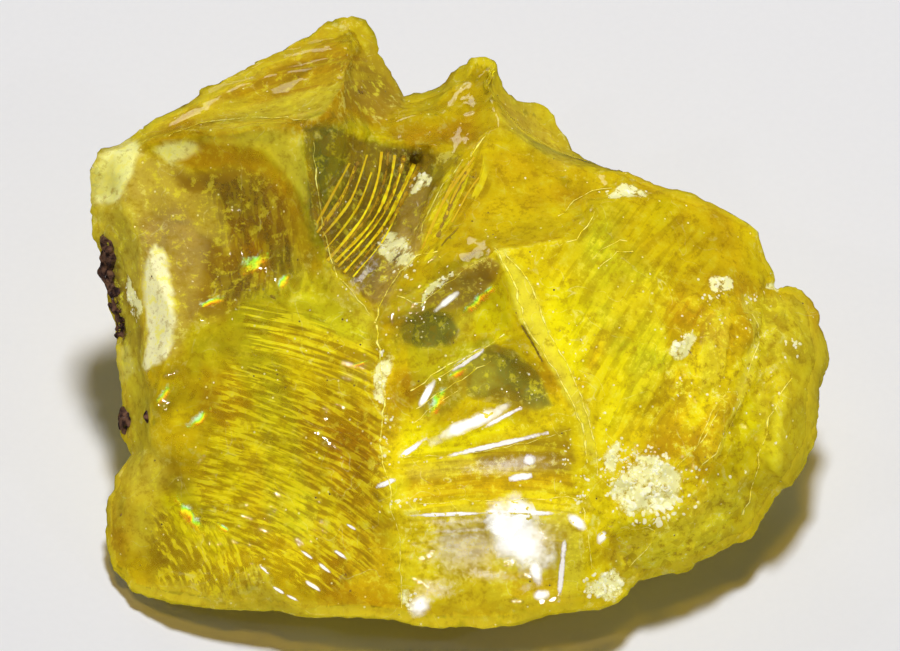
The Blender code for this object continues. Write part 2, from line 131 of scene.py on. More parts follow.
# Each lamp: compass angle, height angle, distance, size, power and colour.
LAMPS = {
    "key": (160.0, 82.0, 0.70, 0.10, 4.1, (1.0, 0.99, 0.98)),
    "fill": (12.0, 50.0, 0.90, 0.20, 0.15, (0.97, 0.98, 1.0)),
    "right_glow": (58.0, 26.0, 0.70, 0.30, 1.60, (1.0, 0.94, 0.66)),
    "left_glow": (-62.0, 26.0, 0.70, 0.30, 1.60, (1.0, 0.94, 0.66)),
    "low_glint": (11.0, 6.0, 0.50, 0.025, 0.08, (1.0, 0.98, 1.0)),
    "left_glint": (-62.0, 46.0, 0.60, 0.02, 0.07, (1.0, 0.98, 1.0)),
    "back_glint": (235.0, 50.0, 0.60, 0.02, 0.05, (1.0, 0.98, 0.96)),
    "rear_sheen": (200.0, 24.0, 0.60, 0.14, 0.13, (1.0, 0.99, 0.95)),
    "right_glint": (60.0, 40.0, 0.60, 0.02, 0.07, (1.0, 1.0, 1.0)),
}
SOFT_LAMPS = ("key", "fill", "right_glow", "left_glow")  # they light the stone without shining back from it
SEEPING_LAMPS = ("fill", "right_glow", "left_glow")  # light that seeps through, which leaves the floor alone

# Colours of the finish, as red, green, blue and 1.
DARK_STREAK, BRIGHT_STREAK = (0.22, 0.13, 0.01, 1), (1.0, 0.90, 0.02, 1)
DARK_MOTTLE, BRIGHT_MOTTLE = (0.38, 0.25, 0.01, 1), (1.0, 0.94, 0.05, 1)
DARK_PLATE, BRIGHT_PLATE = (0.50, 0.32, 0.01, 1), (1.0, 0.98, 0.04, 1)
BORDER_TONE, WHITE_TONE, SOOT_TONE = (0.60, 0.45, 0.02, 1), (0.98, 0.98, 0.50, 1), (0.08, 0.05, 0.02, 1)
# The tint of the light that lamps send through the skin and through the heart.
SKIN_SHADE, HEART_SHADE = (0.44, 0.35, 0.06, 1), (0.04, 0.03, 0.0, 1)
# Colours of the painted rainbow glints: the two ends and the bands between.
RAINBOW_GLINT_ENDS = ((0.85, 0.18, 0.02), (0.75, 1.0, 0.85))
RAINBOW_GLINT_BANDS = ((0.25, (1.0, 0.50, 0.01)), (0.50, (1.0, 0.95, 0.02)), (0.72, (0.35, 0.95, 0.05)))
RIB_HEIGHTS = (17.6 * MM, 20.8 * MM)  # the ribs darken between these heights
MOTTLE_SIZE, GRAIN_SIZE, CRACK_SIZE, PLATE_SIZE, PLATE_WAVER = 0.8, 0.75, 3.0, 1.7, 3.0

# The parts of the display side with fine ripples, with clear windows, and with no cloudy rims.
FINE_RIPPLES = ("brow", "flank", "corner", "gully", "collar", "step", "toe", "lobe")
WINDOWS = ((-4.2, -0.8), (-3.4, 1.2), (1.8, 4.6), (3.0, 5.6), (3.8, 5.2), (5.6, 2.6), (7.8, -2.6),
    (9.0, -6.6), (3.8, -5.6), (-2.8, -7.6), (-3.6, -3.0))
FIELD = ((-20.0, 9.0), (-9.0, 12.0), (2.0, 10.0), (8.0, 8.0), (15.0, 5.0), (18.0, -2.0), (12.0, -12.0),
    (-19.0, -14.0))

# Tones of sulfur: how much red, green and blue it keeps, and how clouded it is.
TONES = {
    "lemon": (0.93, 0.80, 0.008, 0.50),
    "glow": (1.00, 0.94, 0.004, 0.50),
    "lime": (0.74, 0.76, 0.020, 0.35),
    "gold": (0.86, 0.71, 0.010, 0.30),
    "amber": (0.70, 0.44, 0.010, 0.35),
    "rust": (0.55, 0.26, 0.008, 0.45),
    "brown": (0.36, 0.22, 0.020, 0.50),
    "tan": (0.66, 0.54, 0.075, 0.65),
    "mauve": (0.56, 0.42, 0.120, 0.60),
    "straw": (0.88, 0.80, 0.060, 0.60),
    "olive": (0.38, 0.36, 0.045, 0.30),
    "moss": (0.20, 0.22, 0.040, 0.40),
    "umber": (0.24, 0.17, 0.030, 0.50),
    "bark": (0.44, 0.30, 0.030, 0.90),
    "dusk": (0.42, 0.30, 0.065, 0.65),
    "pale": (0.97, 1.00, 0.400, 0.90),
    # The white of a painted reflection.
    "glare_white": (1.00, 1.00, 0.620, 0.95),
}
# Stains of the display side, laid over one another in this order: tone, strength, width of the soft
# edge, and outline (right, up), in millimetres.
STAINS = (
    # Left flank
    ("gold", 1.0, 4.0, ((-24.5, 8.0), (-10.0, 4.0), (-4.6, -1.0), (-4.0, -19.5), (-14.0, -19.0),
        (-23.5, -17.0))),
    ("gold", 0.7, 2.0, ((-23.5, -2.0), (-20.0, -2.5), (-19.5, -8.0), (-20.0, -18.0), (-23.5, -16.0))),
    ("glow", 0.6, 3.0, ((-17.5, -3.0), (-10.0, -2.5), (-9.0, -8.0), (-17.0, -9.0))),
    ("lime", 0.7, 2.0, ((-18.5, 0.5), (-13.0, 0.8), (-12.5, -2.0), (-18.0, -3.0))),
    ("rust", 0.55, 2.5, ((-11.0, -5.0), (-5.2, -5.0), (-4.8, -12.5), (-9.5, -13.5))),
    ("rust", 0.6, 0.8, ((-9.0, -6.6), (-5.4, -7.4), (-5.2, -9.6), (-7.8, -9.4))),
    ("amber", 0.7, 0.6, ((-17.2, -2.4), (-14.6, -3.2), (-13.6, -5.4), (-15.6, -7.0), (-17.4, -5.6))),
    ("lime", 0.8, 1.0, ((-15.4, 1.0), (-12.8, 1.0), (-10.2, -8.0), (-9.6, -14.6), (-12.4, -13.8),
        (-13.2, -6.0))),
    ("glow", 0.9, 0.8, ((-19.8, -12.0), (-17.6, -10.8), (-15.2, -14.4), (-16.2, -16.0), (-18.8, -14.0))),
    ("amber", 0.7, 1.6, ((-9.0, -14.0), (-4.2, -13.0), (-4.0, -19.0), (-9.0, -19.0))),
    ("glow", 0.8, 1.2, ((-16.5, -8.5), (-15.2, -8.0), (-13.5, -14.0), (-15.0, -15.5), (-16.5, -13.0))),
    ("glow", 0.6, 0.8, ((-12.6, -5.5), (-11.4, -5.5), (-10.4, -12.5), (-11.8, -12.8))),
    ("glow", 0.5, 0.8, ((-9.6, -8.5), (-8.8, -8.3), (-7.8, -15.0), (-8.8, -15.3))),
    ("olive", 0.30, 1.5, ((-21.0, -13.0), (-17.5, -12.0), (-15.0, -18.0), (-20.5, -18.0))),
    ("glow", 0.9, 0.8, ((-20.0, -11.8), (-17.6, -10.8), (-15.2, -14.4), (-16.2, -16.0), (-18.8, -14.2))),
    ("straw", 0.5, 1.0, ((-24.4, -8.6), (-20.0, -8.8), (-20.0, -15.0), (-23.8, -16.0))),
    ("lime", 0.6, 1.0, ((-19.6, -10.6), (-17.5, -10.2), (-15.4, -13.6), (-17.0, -14.6))),
    ("straw", 0.7, 1.0, ((-22.0, -17.3), (-14.0, -18.0), (-4.0, -19.6), (6.0, -19.8), (6.0, -22.0),
        (-22.0, -21.0))),
    ("straw", 0.8, 0.3, ((-18.5, -18.6), (-15.4, -17.6), (-13.6, -16.2), (-10.6, -19.2), (-12.0, -20.2),
        (-18.0, -19.9))),
    ("rust", 0.4, 0.6, ((-23.7, -10.0), (-22.3, -9.5), (-21.8, -14.5), (-22.8, -16.5), (-23.6, -13.0))),
    ("tan", 0.8, 0.5, ((-24.4, -8.4), (-21.4, -8.0), (-20.6, -10.4), (-22.0, -12.5), (-22.4, -9.6),
        (-24.2, -9.6))),
    ("brown", 0.8, 0.8, ((-25.0, 6.0), (-23.7, 6.0), (-22.3, 0.0), (-22.5, -2.0), (-23.6, -2.0),
        (-24.4, 2.0))),
    # Bowl
    ("tan", 1.0, 1.2, ((-24.8, 8.3), (-21.6, 11.8), (-18.3, 11.4), (-16.2, 9.4), (-16.6, 2.0),
        (-19.0, -2.0), (-23.0, -3.0))),
    ("dusk", 0.8, 1.2, ((-21.6, 7.4), (-18.6, 8.0), (-16.0, 7.4), (-15.6, 1.2), (-18.2, -0.4),
        (-19.2, 4.4), (-21.2, 3.0))),
    ("brown", 1.0, 1.2, ((-18.8, 10.6), (-14.0, 11.2), (-11.4, 9.4), (-10.2, 5.5), (-10.9, 1.6),
        (-17.0, 0.6), (-17.6, 5.0))),
    ("umber", 0.7, 0.8, ((-17.2, 10.0), (-13.6, 10.2), (-12.4, 8.2), (-14.6, 7.0), (-16.4, 8.4))),
    ("amber", 0.9, 0.5, ((-19.4, 11.6), (-17.0, 12.6), (-13.4, 12.0), (-11.0, 9.8), (-9.8, 6.8),
        (-10.8, 7.6), (-12.4, 9.9), (-14.6, 10.9), (-17.6, 10.9))),
    ("amber", 0.6, 0.6, ((-12.4, 10.2), (-9.9, 6.6), (-9.0, 3.5), (-8.2, 1.2), (-9.8, 2.3), (-10.4, 6.0),
        (-11.6, 8.6))),
    ("mauve", 0.8, 0.6, ((-21.6, 4.0), (-21.0, 7.0), (-18.8, 8.0), (-16.9, 6.2), (-17.4, 2.6),
        (-18.8, 4.8), (-20.4, 5.6))),
    ("tan", 0.8, 0.5, ((-18.8, 9.4), (-16.2, 8.8), (-15.4, 5.2), (-17.6, 6.2))),
    ("straw", 1.0, 0.25, ((-16.9, 13.4), (-10.5, 13.6), (-10.2, 11.2), (-9.2, 6.6), (-10.6, 9.2),
        (-13.0, 11.9), (-17.3, 12.5))),
    ("olive", 0.6, 1.0, ((-12.8, 5.8), (-10.2, 5.0), (-10.0, 1.6), (-13.0, 2.2))),
    ("rust", 0.6, 0.8, ((-14.8, 5.4), (-12.8, 5.6), (-12.6, 3.0), (-14.4, 3.2))),
    ("umber", 0.8, 0.6, ((-16.6, 3.6), (-13.6, 3.4), (-11.8, 2.2), (-13.6, 1.6), (-16.4, 1.9))),
    ("lime", 0.8, 1.0, ((-13.6, 2.0), (-9.2, 4.0), (-7.8, 2.7), (-5.4, 0.3), (-5.2, -1.7), (-8.5, -0.5),
        (-15.6, 0.7))),
    ("straw", 0.6, 0.6, ((-9.4, 4.0), (-8.6, 4.2), (-5.2, 0.2), (-5.4, -1.0), (-7.2, 0.6))),
    ("straw", 0.5, 1.0, ((-24.8, 8.6), (-21.8, 8.6), (-20.8, -1.0), (-21.6, -8.0), (-23.8, -8.0))),
    ("umber", 0.9, 0.5, ((-24.6, 5.8), (-23.6, 5.6), (-22.6, 2.0), (-22.3, -0.6), (-22.6, -1.6),
        (-23.6, -1.4), (-24.6, 2.0))),
    ("brown", 0.8, 0.6, ((-22.8, 3.6), (-21.8, 3.0), (-21.0, -0.2), (-21.4, -3.0), (-22.2, -1.6),
        (-22.4, 1.0))),
    ("pale", 0.7, 0.3, ((-23.4, -1.4), (-22.2, -1.4), (-21.8, -3.2), (-22.6, -4.0), (-23.6, -3.4))),
    ("rust", 0.7, 0.6, ((-23.4, -4.0), (-22.4, -4.2), (-21.6, -7.0), (-22.6, -8.6), (-23.6, -6.6))),
    ("amber", 0.6, 0.6, ((-23.8, -10.4), (-22.4, -10.0), (-21.6, -12.0), (-22.6, -15.6), (-23.8, -14.6))),
    ("tan", 0.6, 0.6, ((-21.4, -8.4), (-19.6, -8.0), (-19.4, -10.6), (-21.2, -12.0))),
    ("brown", 0.5, 0.6, ((-20.6, -8.6), (-18.8, -8.8), (-18.0, -11.0), (-19.4, -11.6))),
    # Horn
    ("amber", 1.0, 1.2, ((-22.0, 12.5), (-17.3, 15.6), (-13.9, 18.0), (-8.1, 21.5), (-5.8, 21.0),
        (-3.4, 15.6), (-3.7, 13.8))),
    ("bark", 0.5, 1.5, ((-16.0, 14.5), (-12.0, 18.0), (-8.6, 20.0), (-6.4, 17.4), (-3.6, 15.6),
        (-8.0, 14.4))),
    ("gold", 0.8, 0.8, ((-9.0, 21.6), (-5.6, 21.6), (-4.6, 18.6), (-7.6, 19.0), (-9.6, 20.4))),
    ("straw", 0.8, 0.7, ((-18.0, 15.4), (-11.6, 18.6), (-8.6, 18.9), (-11.4, 17.8), (-17.4, 14.9))),
    ("straw", 0.9, 0.3, ((-15.6, 13.9), (-13.6, 15.2), (-10.6, 15.9), (-7.6, 16.5), (-8.6, 14.9),
        (-9.4, 14.0))),
    ("straw", 0.6, 1.0, ((-23.4, 12.2), (-19.8, 15.4), (-16.6, 16.6), (-17.6, 14.4), (-21.4, 12.4))),
    ("bark", 0.9, 0.8, ((-7.6, 16.4), (-6.6, 18.4), (-5.4, 20.6), (-3.2, 15.6), (-3.6, 13.8), (-6.2, 14.2))),
    ("gold", 0.9, 1.0, ((-5.4, 13.9), (-2.0, 15.0), (2.0, 18.0), (4.0, 13.0), (0.5, 11.5), (-3.7, 12.5))),
    ("amber", 0.8, 0.8, ((-4.6, 13.4), (-1.0, 14.0), (1.8, 14.6), (1.6, 12.6), (-3.0, 11.9))),
    ("tan", 0.7, 1.5, ((3.5, 17.5), (5.5, 15.5), (8.8, 11.2), (6.8, 10.8), (3.5, 13.0))),
    # Gully
    ("umber", 0.95, 0.4, ((-10.2, 13.8), (-6.3, 12.6), (-2.0, 11.9), (0.6, 11.6), (-0.9, 9.8),
        (-2.0, 7.3), (-2.4, 5.3), (-3.7, 3.2), (-5.0, 1.3), (-6.3, 2.1), (-7.5, 3.4), (-8.7, 4.3),
        (-9.6, 7.0), (-9.9, 9.6))),
    ("moss", 0.95, 0.8, ((-10.1, 13.6), (-7.6, 13.4), (-7.4, 9.8), (-8.2, 8.0), (-9.6, 8.0), (-10.0, 10.0))),
    ("mauve", 0.7, 0.8, ((-3.2, 10.4), (-2.0, 9.6), (-2.0, 6.1), (-3.7, 2.7), (-4.9, 0.7), (-6.3, 2.7),
        (-5.2, 4.3), (-4.1, 6.8))),
    ("olive", 0.7, 0.4, ((-1.8, 11.0), (0.6, 11.2), (-0.8, 9.4), (-1.6, 9.8))),
    # Collar
    ("gold", 0.8, 0.4, ((-5.2, 0.6), (-2.2, 5.6), (-1.0, 9.2), (1.2, 11.8), (5.1, 11.9), (7.1, 5.8),
        (1.0, 4.1), (-2.4, 2.4))),
    ("glow", 0.6, 0.6, ((-2.0, 5.4), (-1.2, 8.6), (0.6, 11.2), (0.8, 10.0), (-0.4, 7.0))),
    ("lemon", 0.5, 1.5, ((0.8, 11.8), (5.0, 11.4), (6.6, 6.0), (1.8, 5.4))),
    # Windows: clear facets, darkened with olive and moss as painted shade for the dark seen through them
    ("olive", 0.5, 0.6, ((-4.2, 0.4), (-1.6, 2.4), (1.8, 4.6), (3.0, 4.4), (2.6, 2.2), (0.6, -1.0),
        (-2.0, -2.2), (-4.4, -1.4))),
    ("dusk", 0.8, 0.25, ((-1.9, 2.3), (0.4, 3.9), (2.2, 4.6), (3.0, 4.0), (2.4, 2.6), (1.2, 1.6),
        (-0.4, 1.0), (-1.8, 1.4))),
    ("brown", 0.5, 0.4, ((1.4, 4.2), (2.4, 4.5), (3.0, 3.8), (2.4, 2.7), (1.3, 2.8))),
    ("moss", 0.95, 0.3, ((-3.8, -0.2), (-3.0, 0.9), (-1.6, 1.2), (-0.2, 0.8), (0.3, -0.4), (-0.4, -1.5),
        (-2.2, -1.6), (-3.6, -1.2))),
    ("glow", 0.95, 0.7, ((1.2, 0.6), (2.6, 2.9), (4.2, 3.4), (4.4, 1.0), (3.4, -0.6), (1.4, -0.4))),
    ("lime", 0.8, 0.4, ((-3.4, -1.5), (-0.5, -1.5), (2.4, -0.6), (2.9, -1.8), (-0.7, -4.0), (-2.8, -4.0))),
    ("olive", 0.5, 0.4, ((-2.6, -4.6), (0.9, -2.0), (1.0, -4.8), (-0.6, -6.2), (-2.2, -7.0))),
    ("olive", 0.95, 0.25, ((0.8, -2.2), (2.6, -1.3), (4.0, -1.6), (5.4, -3.2), (6.5, -5.4), (5.0, -5.9),
        (2.4, -5.2), (0.9, -4.7))),
    ("moss", 0.6, 0.6, ((3.0, -2.0), (4.2, -2.0), (5.6, -4.0), (6.1, -5.2), (4.2, -5.0), (3.0, -3.6))),
    ("straw", 0.8, 0.4, ((2.5, 5.4), (3.3, 5.2), (5.2, 2.8), (6.4, -0.5), (7.8, -3.1), (8.8, -5.7),
        (9.6, -9.0), (8.8, -9.0), (8.2, -6.5), (7.1, -4.1), (5.7, -1.7), (4.3, 0.7), (3.6, 3.2))),
    # Step and toe
    ("gold", 0.8, 1.0, ((-3.8, -6.2), (7.4, -5.6), (8.2, -12.5), (-3.8, -12.5))),
    ("glow", 0.8, 0.8, ((-3.6, -6.6), (0.4, -6.8), (3.6, -6.0), (3.4, -7.0), (-0.6, -8.6), (-3.4, -9.0))),
    ("brown", 0.6, 0.6, ((1.0, -8.3), (7.5, -7.0), (8.2, -9.0), (7.0, -10.0), (2.0, -9.6))),
    ("amber", 0.7, 0.5, ((-3.0, -10.2), (7.6, -9.9), (7.8, -10.9), (-3.2, -11.6))),
    ("mauve", 0.35, 0.6, ((-3.2, -9.4), (2.6, -8.8), (7.6, -9.2), (7.4, -9.8), (-3.2, -10.2))),
    ("straw", 0.7, 1.0, ((-3.6, -12.4), (8.5, -12.2), (8.2, -19.0), (-3.4, -20.5))),
    ("mauve", 0.3, 1.0, ((0.4, -12.8), (7.6, -12.6), (7.0, -15.6), (1.6, -15.4))),
    ("gold", 0.6, 0.8, ((-3.4, -17.6), (7.0, -17.0), (8.0, -19.4), (-3.0, -20.4))),
    ("tan", 0.6, 0.6, ((-1.6, -13.0), (2.4, -13.2), (2.0, -16.6), (-0.8, -17.0))),
    ("amber", 0.5, 0.5, ((-3.6, -13.2), (-2.2, -13.2), (-1.8, -15.6), (-3.4, -16.0))),
    ("amber", 0.5, 0.5, ((3.4, -16.6), (6.6, -16.2), (7.0, -18.0), (4.0, -18.4))),
    ("lemon", 0.7, 1.0, ((-3.6, -13.0), (-1.2, -13.4), (-1.0, -19.4), (-3.4, -19.6))),
    # Right face
    ("glow", 0.8, 1.5, ((5.8, 3.0), (9.0, 2.5), (9.0, -4.0), (7.6, -3.0), (6.6, -0.6))),
    ("amber", 0.6, 0.5, ((10.2, 0.6), (11.0, 0.8), (9.8, -2.4), (8.6, -4.6), (8.2, -4.0), (9.2, -2.0))),
    ("rust", 0.4, 0.6, ((11.6, -1.6), (12.4, -1.4), (11.4, -3.6), (10.2, -5.4), (9.8, -4.8))),
    ("lime", 0.7, 2.0, ((8.5, 5.0), (12.5, 5.5), (13.5, 1.0), (10.0, -1.0), (8.8, 1.0))),
    ("glow", 0.8, 1.2, ((9.8, -2.0), (12.5, -1.5), (11.8, -6.0), (9.6, -7.0))),
    ("glow", 1.0, 1.0, ((12.3, 7.6), (13.6, 8.6), (15.2, 8.0), (14.8, 6.2), (12.5, 6.0))),
    ("gold", 0.4, 2.0, ((8.0, 10.0), (12.0, 10.2), (19.0, 7.0), (20.0, 3.0), (15.5, 5.0), (9.0, 7.0))),
    ("amber", 0.35, 1.5, ((15.0, 3.4), (19.6, 4.4), (19.4, -0.6), (15.6, -2.0), (14.2, 0.6))),
    ("amber", 0.3, 1.6, ((12.8, -2.6), (15.8, -2.4), (15.4, -6.4), (13.4, -8.0), (12.2, -5.6))),
    ("lime", 0.5, 0.5, ((12.2, 1.0), (14.0, 1.4), (13.8, -3.0), (12.6, -5.6), (11.6, -5.0))),
    ("glow", 0.6, 0.5, ((17.8, -6.0), (20.6, -5.6), (21.0, -9.6), (18.6, -12.0), (16.8, -10.6))),
    ("lime", 0.5, 0.6, ((8.2, 7.4), (10.6, 8.6), (12.2, 8.0), (10.8, 6.0), (8.8, 6.0))),
    ("straw", 0.4, 0.4, ((16.6, 0.6), (18.6, 1.2), (18.2, -3.6), (16.4, -4.6))),
    ("gold", 0.8, 0.4, ((18.4, -4.5), (19.3, -5.1), (17.6, -8.5), (16.5, -9.6), (16.1, -8.5), (17.3, -5.9))),
    ("gold", 0.5, 3.0, ((11.0, -12.0), (20.0, -8.0), (19.0, -15.0), (12.0, -16.5))),
    ("lemon", 0.6, 1.0, ((17.8, -6.6), (21.0, -6.6), (20.4, -12.0), (17.0, -12.0))),
    ("amber", 0.8, 0.3, ((10.4, -14.4), (11.8, -13.7), (13.3, -13.9), (13.0, -15.0), (11.8, -16.2),
        (10.6, -15.4))),
    ("gold", 0.7, 1.0, ((20.4, 2.4), (23.5, 2.0), (25.0, -3.0), (24.5, -7.0), (22.0, -10.0), (20.8, -5.0))),
    ("tan", 0.6, 0.8, ((20.6, 1.8), (23.4, 1.6), (24.4, -2.6), (22.4, -3.0), (21.0, -1.4))),
    ("straw", 0.6, 0.5, ((24.4, -0.6), (25.4, -1.4), (24.8, -7.4), (23.6, -9.6), (24.2, -5.0))),
    # Lobe and keel
    ("glow", 0.6, 1.2, ((20.0, 1.6), (23.4, 1.4), (25.2, -3.0), (24.0, -8.4), (21.0, -12.4),
        (17.6, -14.6), (17.4, -10.0), (20.4, -4.0))),
    ("glow", 0.6, 1.5, ((10.0, -13.0), (19.6, -12.6), (17.4, -18.6), (11.4, -18.6))),
    ("amber", 0.5, 0.25, ((17.8, -4.6), (19.0, -4.6), (17.4, -8.2), (15.6, -9.8), (15.6, -8.2))),
    ("amber", 0.35, 0.25, ((14.8, -4.4), (16.8, -4.2), (14.6, -7.8), (12.6, -10.0), (13.0, -7.6))),
    ("brown", 0.3, 0.8, ((21.0, 0.0), (22.4, -0.2), (22.6, -2.6), (21.2, -2.8))),
    ("straw", 0.8, 0.2, ((19.4, 2.2), (20.0, 2.0), (20.5, -0.4), (20.0, -3.4), (18.9, -6.4),
        (17.2, -9.6), (16.9, -9.2), (18.2, -6.4), (19.4, -3.2), (19.7, -0.4))),
    ("straw", 0.45, 1.0, ((20.4, 1.8), (23.4, 1.4), (25.2, -3.0), (24.0, -8.4), (21.0, -12.4), (20.6, -4.6))),
    ("straw", 0.40, 1.2, ((10.4, -15.4), (19.6, -10.0), (21.0, -12.6), (17.4, -18.6), (11.4, -18.8))),
    # Paler edges and slopes
    ("straw", 0.5, 1.0, ((-24.0, 1.0), (-21.8, 1.5), (-20.6, -5.0), (-19.0, -10.0), (-21.0, -16.0),
        (-24.0, -12.0))),
    ("straw", 0.6, 1.0, ((-17.6, 15.4), (-14.0, 15.4), (-11.4, 13.4), (-14.0, 12.8), (-17.6, 13.4))),
    ("amber", 0.35, 1.0, ((-13.5, 17.4), (-9.5, 19.8), (-8.0, 18.0), (-10.0, 16.6), (-13.0, 16.2))),
    ("amber", 0.25, 1.2, ((3.0, 11.8), (9.0, 11.0), (9.4, 8.6), (5.5, 8.0), (3.0, 9.0))),
    ("gold", 0.5, 1.0, ((10.5, 3.2), (14.5, 3.2), (14.5, 0.0), (11.0, -0.5))),
    ("amber", 0.25, 1.0, ((11.0, -5.0), (15.0, -5.0), (15.0, -9.0), (11.5, -9.0))),
    # Clouded faces, and a milk-white sliver on the left that is a painted reflection of the pale floor
    ("pale", 1.0, 0.3, ((-25.5, 12.2), (-23.1, 13.4), (-21.4, 12.4), (-22.0, 10.2), (-23.1, 8.5),
        (-25.5, 8.3))),
    ("lime", 0.4, 0.8, ((-24.6, 11.4), (-22.8, 11.4), (-23.6, 9.2), (-24.8, 9.2))),
    ("pale", 0.8, 0.3, ((-20.5, 11.9), (-19.7, 12.5), (-17.6, 12.4), (-17.4, 11.9), (-19.3, 11.0))),
    ("glare_white", 1.0, 0.15, ((-20.4, 5.6), (-19.7, 5.0), (-19.1, 2.6), (-18.9, 0.0), (-19.4, -2.2),
        (-20.9, -3.1), (-21.2, -2.8), (-20.7, -0.6), (-21.2, 1.6), (-21.1, 4.2))),
)
# Crushed spots, each (right, up, half width, half height, turn in degrees), in millimetres.
BRUISES = (
    (12.8, -10.8, 3.4, 3.0, 20),
    (10.4, -8.6, 1.4, 1.0, 50),
    (10.0, -17.6, 2.0, 1.5, 0),
    (17.9, 2.8, 1.2, 1.0, 30),
    (15.2, -1.3, 1.4, 1.1, 30),
    (11.6, 9.1, 2.0, 0.6, 0),
    (21.8, 2.7, 1.0, 0.5, 30),
    (-3.9, 5.2, 1.4, 2.4, 30),
    (-2.4, 9.9, 1.2, 0.9, 40),
    (-4.8, -3.8, 0.8, 2.6, 0),
    (-1.3, 2.5, 1.9, 0.5, 40),
    (-22.0, 2.0, 0.6, 2.0, 10),
    (-3.2, -18.6, 1.0, 1.0, 0),
)
# Rough faces, likewise.
ROUGH = (
    (18.0, -3.5, 5.5, 9.0, -20),
    (15.0, -13.5, 7.0, 4.0, 20),
    (12.0, -11.5, 5.0, 4.0, 0),
    (-4.0, 5.2, 2.0, 4.5, -30),
    (-4.8, -4.0, 1.2, 4.0, 0),
    (-23.4, 1.0, 1.6, 7.0, 0),
)
# Sets of ripples: the point they spread from (right, up, out), the width of the soft edge and the
# outline they lie in, the distance from one to the next, their length and their height, in millimetres;
# and how much they show as light and dark lines.
RIPPLES = {
    "brow": (
        (-19.0, -32.0, 2.0),
        1.5,
        ((-14.8, 1.4), (-11.0, 1.2), (-5.2, -1.8), (-5.2, -5.4), (-9.0, -3.6), (-14.0, -1.6)),
        0.34,
        6.0,
        0.05,
        1.0,
    ),
    "flank": (
        (-22.7, -36.2, 2.0),
        2.0,
        ((-14.9, -1.4), (-8.8, -3.6), (-4.9, -5.4), (-4.5, -11.9), (-5.4, -16.2), (-8.5, -18.6),
            (-18.6, -14.0), (-16.6, -5.1)),
        0.27,
        2.6,
        0.05,
        0.8,
    ),
    "corner": (
        (-34.0, -24.0, 2.0),
        1.2,
        ((-21.0, -12.6), (-17.2, -12.2), (-13.8, -15.0), (-12.4, -17.8), (-15.8, -18.6), (-20.4, -17.6)),
        0.30,
        2.6,
        0.05,
        0.8,
    ),
    "gully": (
        (-20.0, 14.5, -3.0),
        1.0,
        ((-8.5, 13.5), (-3.0, 12.5), (-2.4, 10.8), (-3.7, 7.5), (-5.0, 4.0), (-6.5, 2.2), (-8.8, 4.0),
            (-9.5, 6.0)),
        0.55,
        14.0,
        0.22,
        0.25,
    ),
    "collar": (
        (-12.4, 15.3, 0.0),
        1.0,
        ((-2.6, 4.5), (-1.6, 9.2), (2.0, 12.6), (2.4, 10.0), (-0.4, 6.0), (-1.8, 3.8)),
        0.45,
        6.0,
        0.12,
        0.8,
    ),
    "step": (
        (3.0, -44.0, 3.0),
        1.0,
        ((-3.4, -8.0), (7.6, -7.6), (8.0, -12.6), (-3.6, -12.8)),
        0.40,
        8.0,
        0.035,
        0.4,
    ),
    "toe": (
        (3.0, -60.0, 3.0),
        1.5,
        ((-3.4, -12.8), (8.0, -12.6), (8.0, -15.0), (-3.6, -15.4)),
        0.30,
        5.0,
        0.012,
        0.3,
    ),
    "bowl": (
        (-46.0, 2.0, 0.0),
        1.0,
        ((-16.8, 8.8), (-14.0, 10.6), (-11.6, 9.4), (-10.0, 5.5), (-9.6, 2.2), (-15.6, 1.4), (-16.4, 5.0)),
        0.50,
        2.6,
        0.05,
        0.6,
    ),
    "horn": (
        (-4.0, -14.0, -6.0),
        2.0,
        ((-21.0, 13.2), (-13.9, 17.5), (-8.1, 20.4), (-6.0, 19.5), (-5.5, 15.0), (-15.0, 14.0)),
        0.90,
        14.0,
        0.20,
        0.4,
    ),
    "face": (
        (48.0, -24.0, 0.0),
        2.0,
        ((6.0, 5.0), (12.0, 9.0), (17.0, 6.5), (18.5, 1.0), (15.5, -5.0), (11.5, -9.0), (9.6, -7.0),
            (8.0, -2.0)),
        0.55,
        4.5,
        0.02,
        0.45,
    ),
    "lobe": (
        (40.0, 6.0, 0.0),
        1.5,
        ((20.6, 0.6), (23.6, 0.6), (24.8, -4.0), (22.6, -9.6), (19.6, -12.6), (17.6, -11.0), (20.8, -5.0)),
        0.80,
        4.5,
        0.12,
        0.3,
    ),
}
# Ripples of the far side, each a centre (x, y, z), a reach, a period and a height, in millimetres.
REAR_RIPPLES = (
    ((-2.0, 24.0, 26.0), 22.0, 1.7, 0.45),
    ((-30.0, 12.0, 14.0), 17.0, 1.4, 0.35),
    ((24.0, 22.0, 18.0), 20.0, 1.6, 0.40),
    ((4.0, 22.0, -6.0), 14.0, 1.5, 0.35),
)
REAR_EDGE = 4.0  # over which a set of them fades out
REAR_WANDER = (0.5, 0.6)  # how much they follow the patches and the soft edges' wander
# Painted shade: the far side's ripple hollows are painted darker by this share.
REAR_HOLLOW_SHADE = 0.45  # how much darker their hollows are
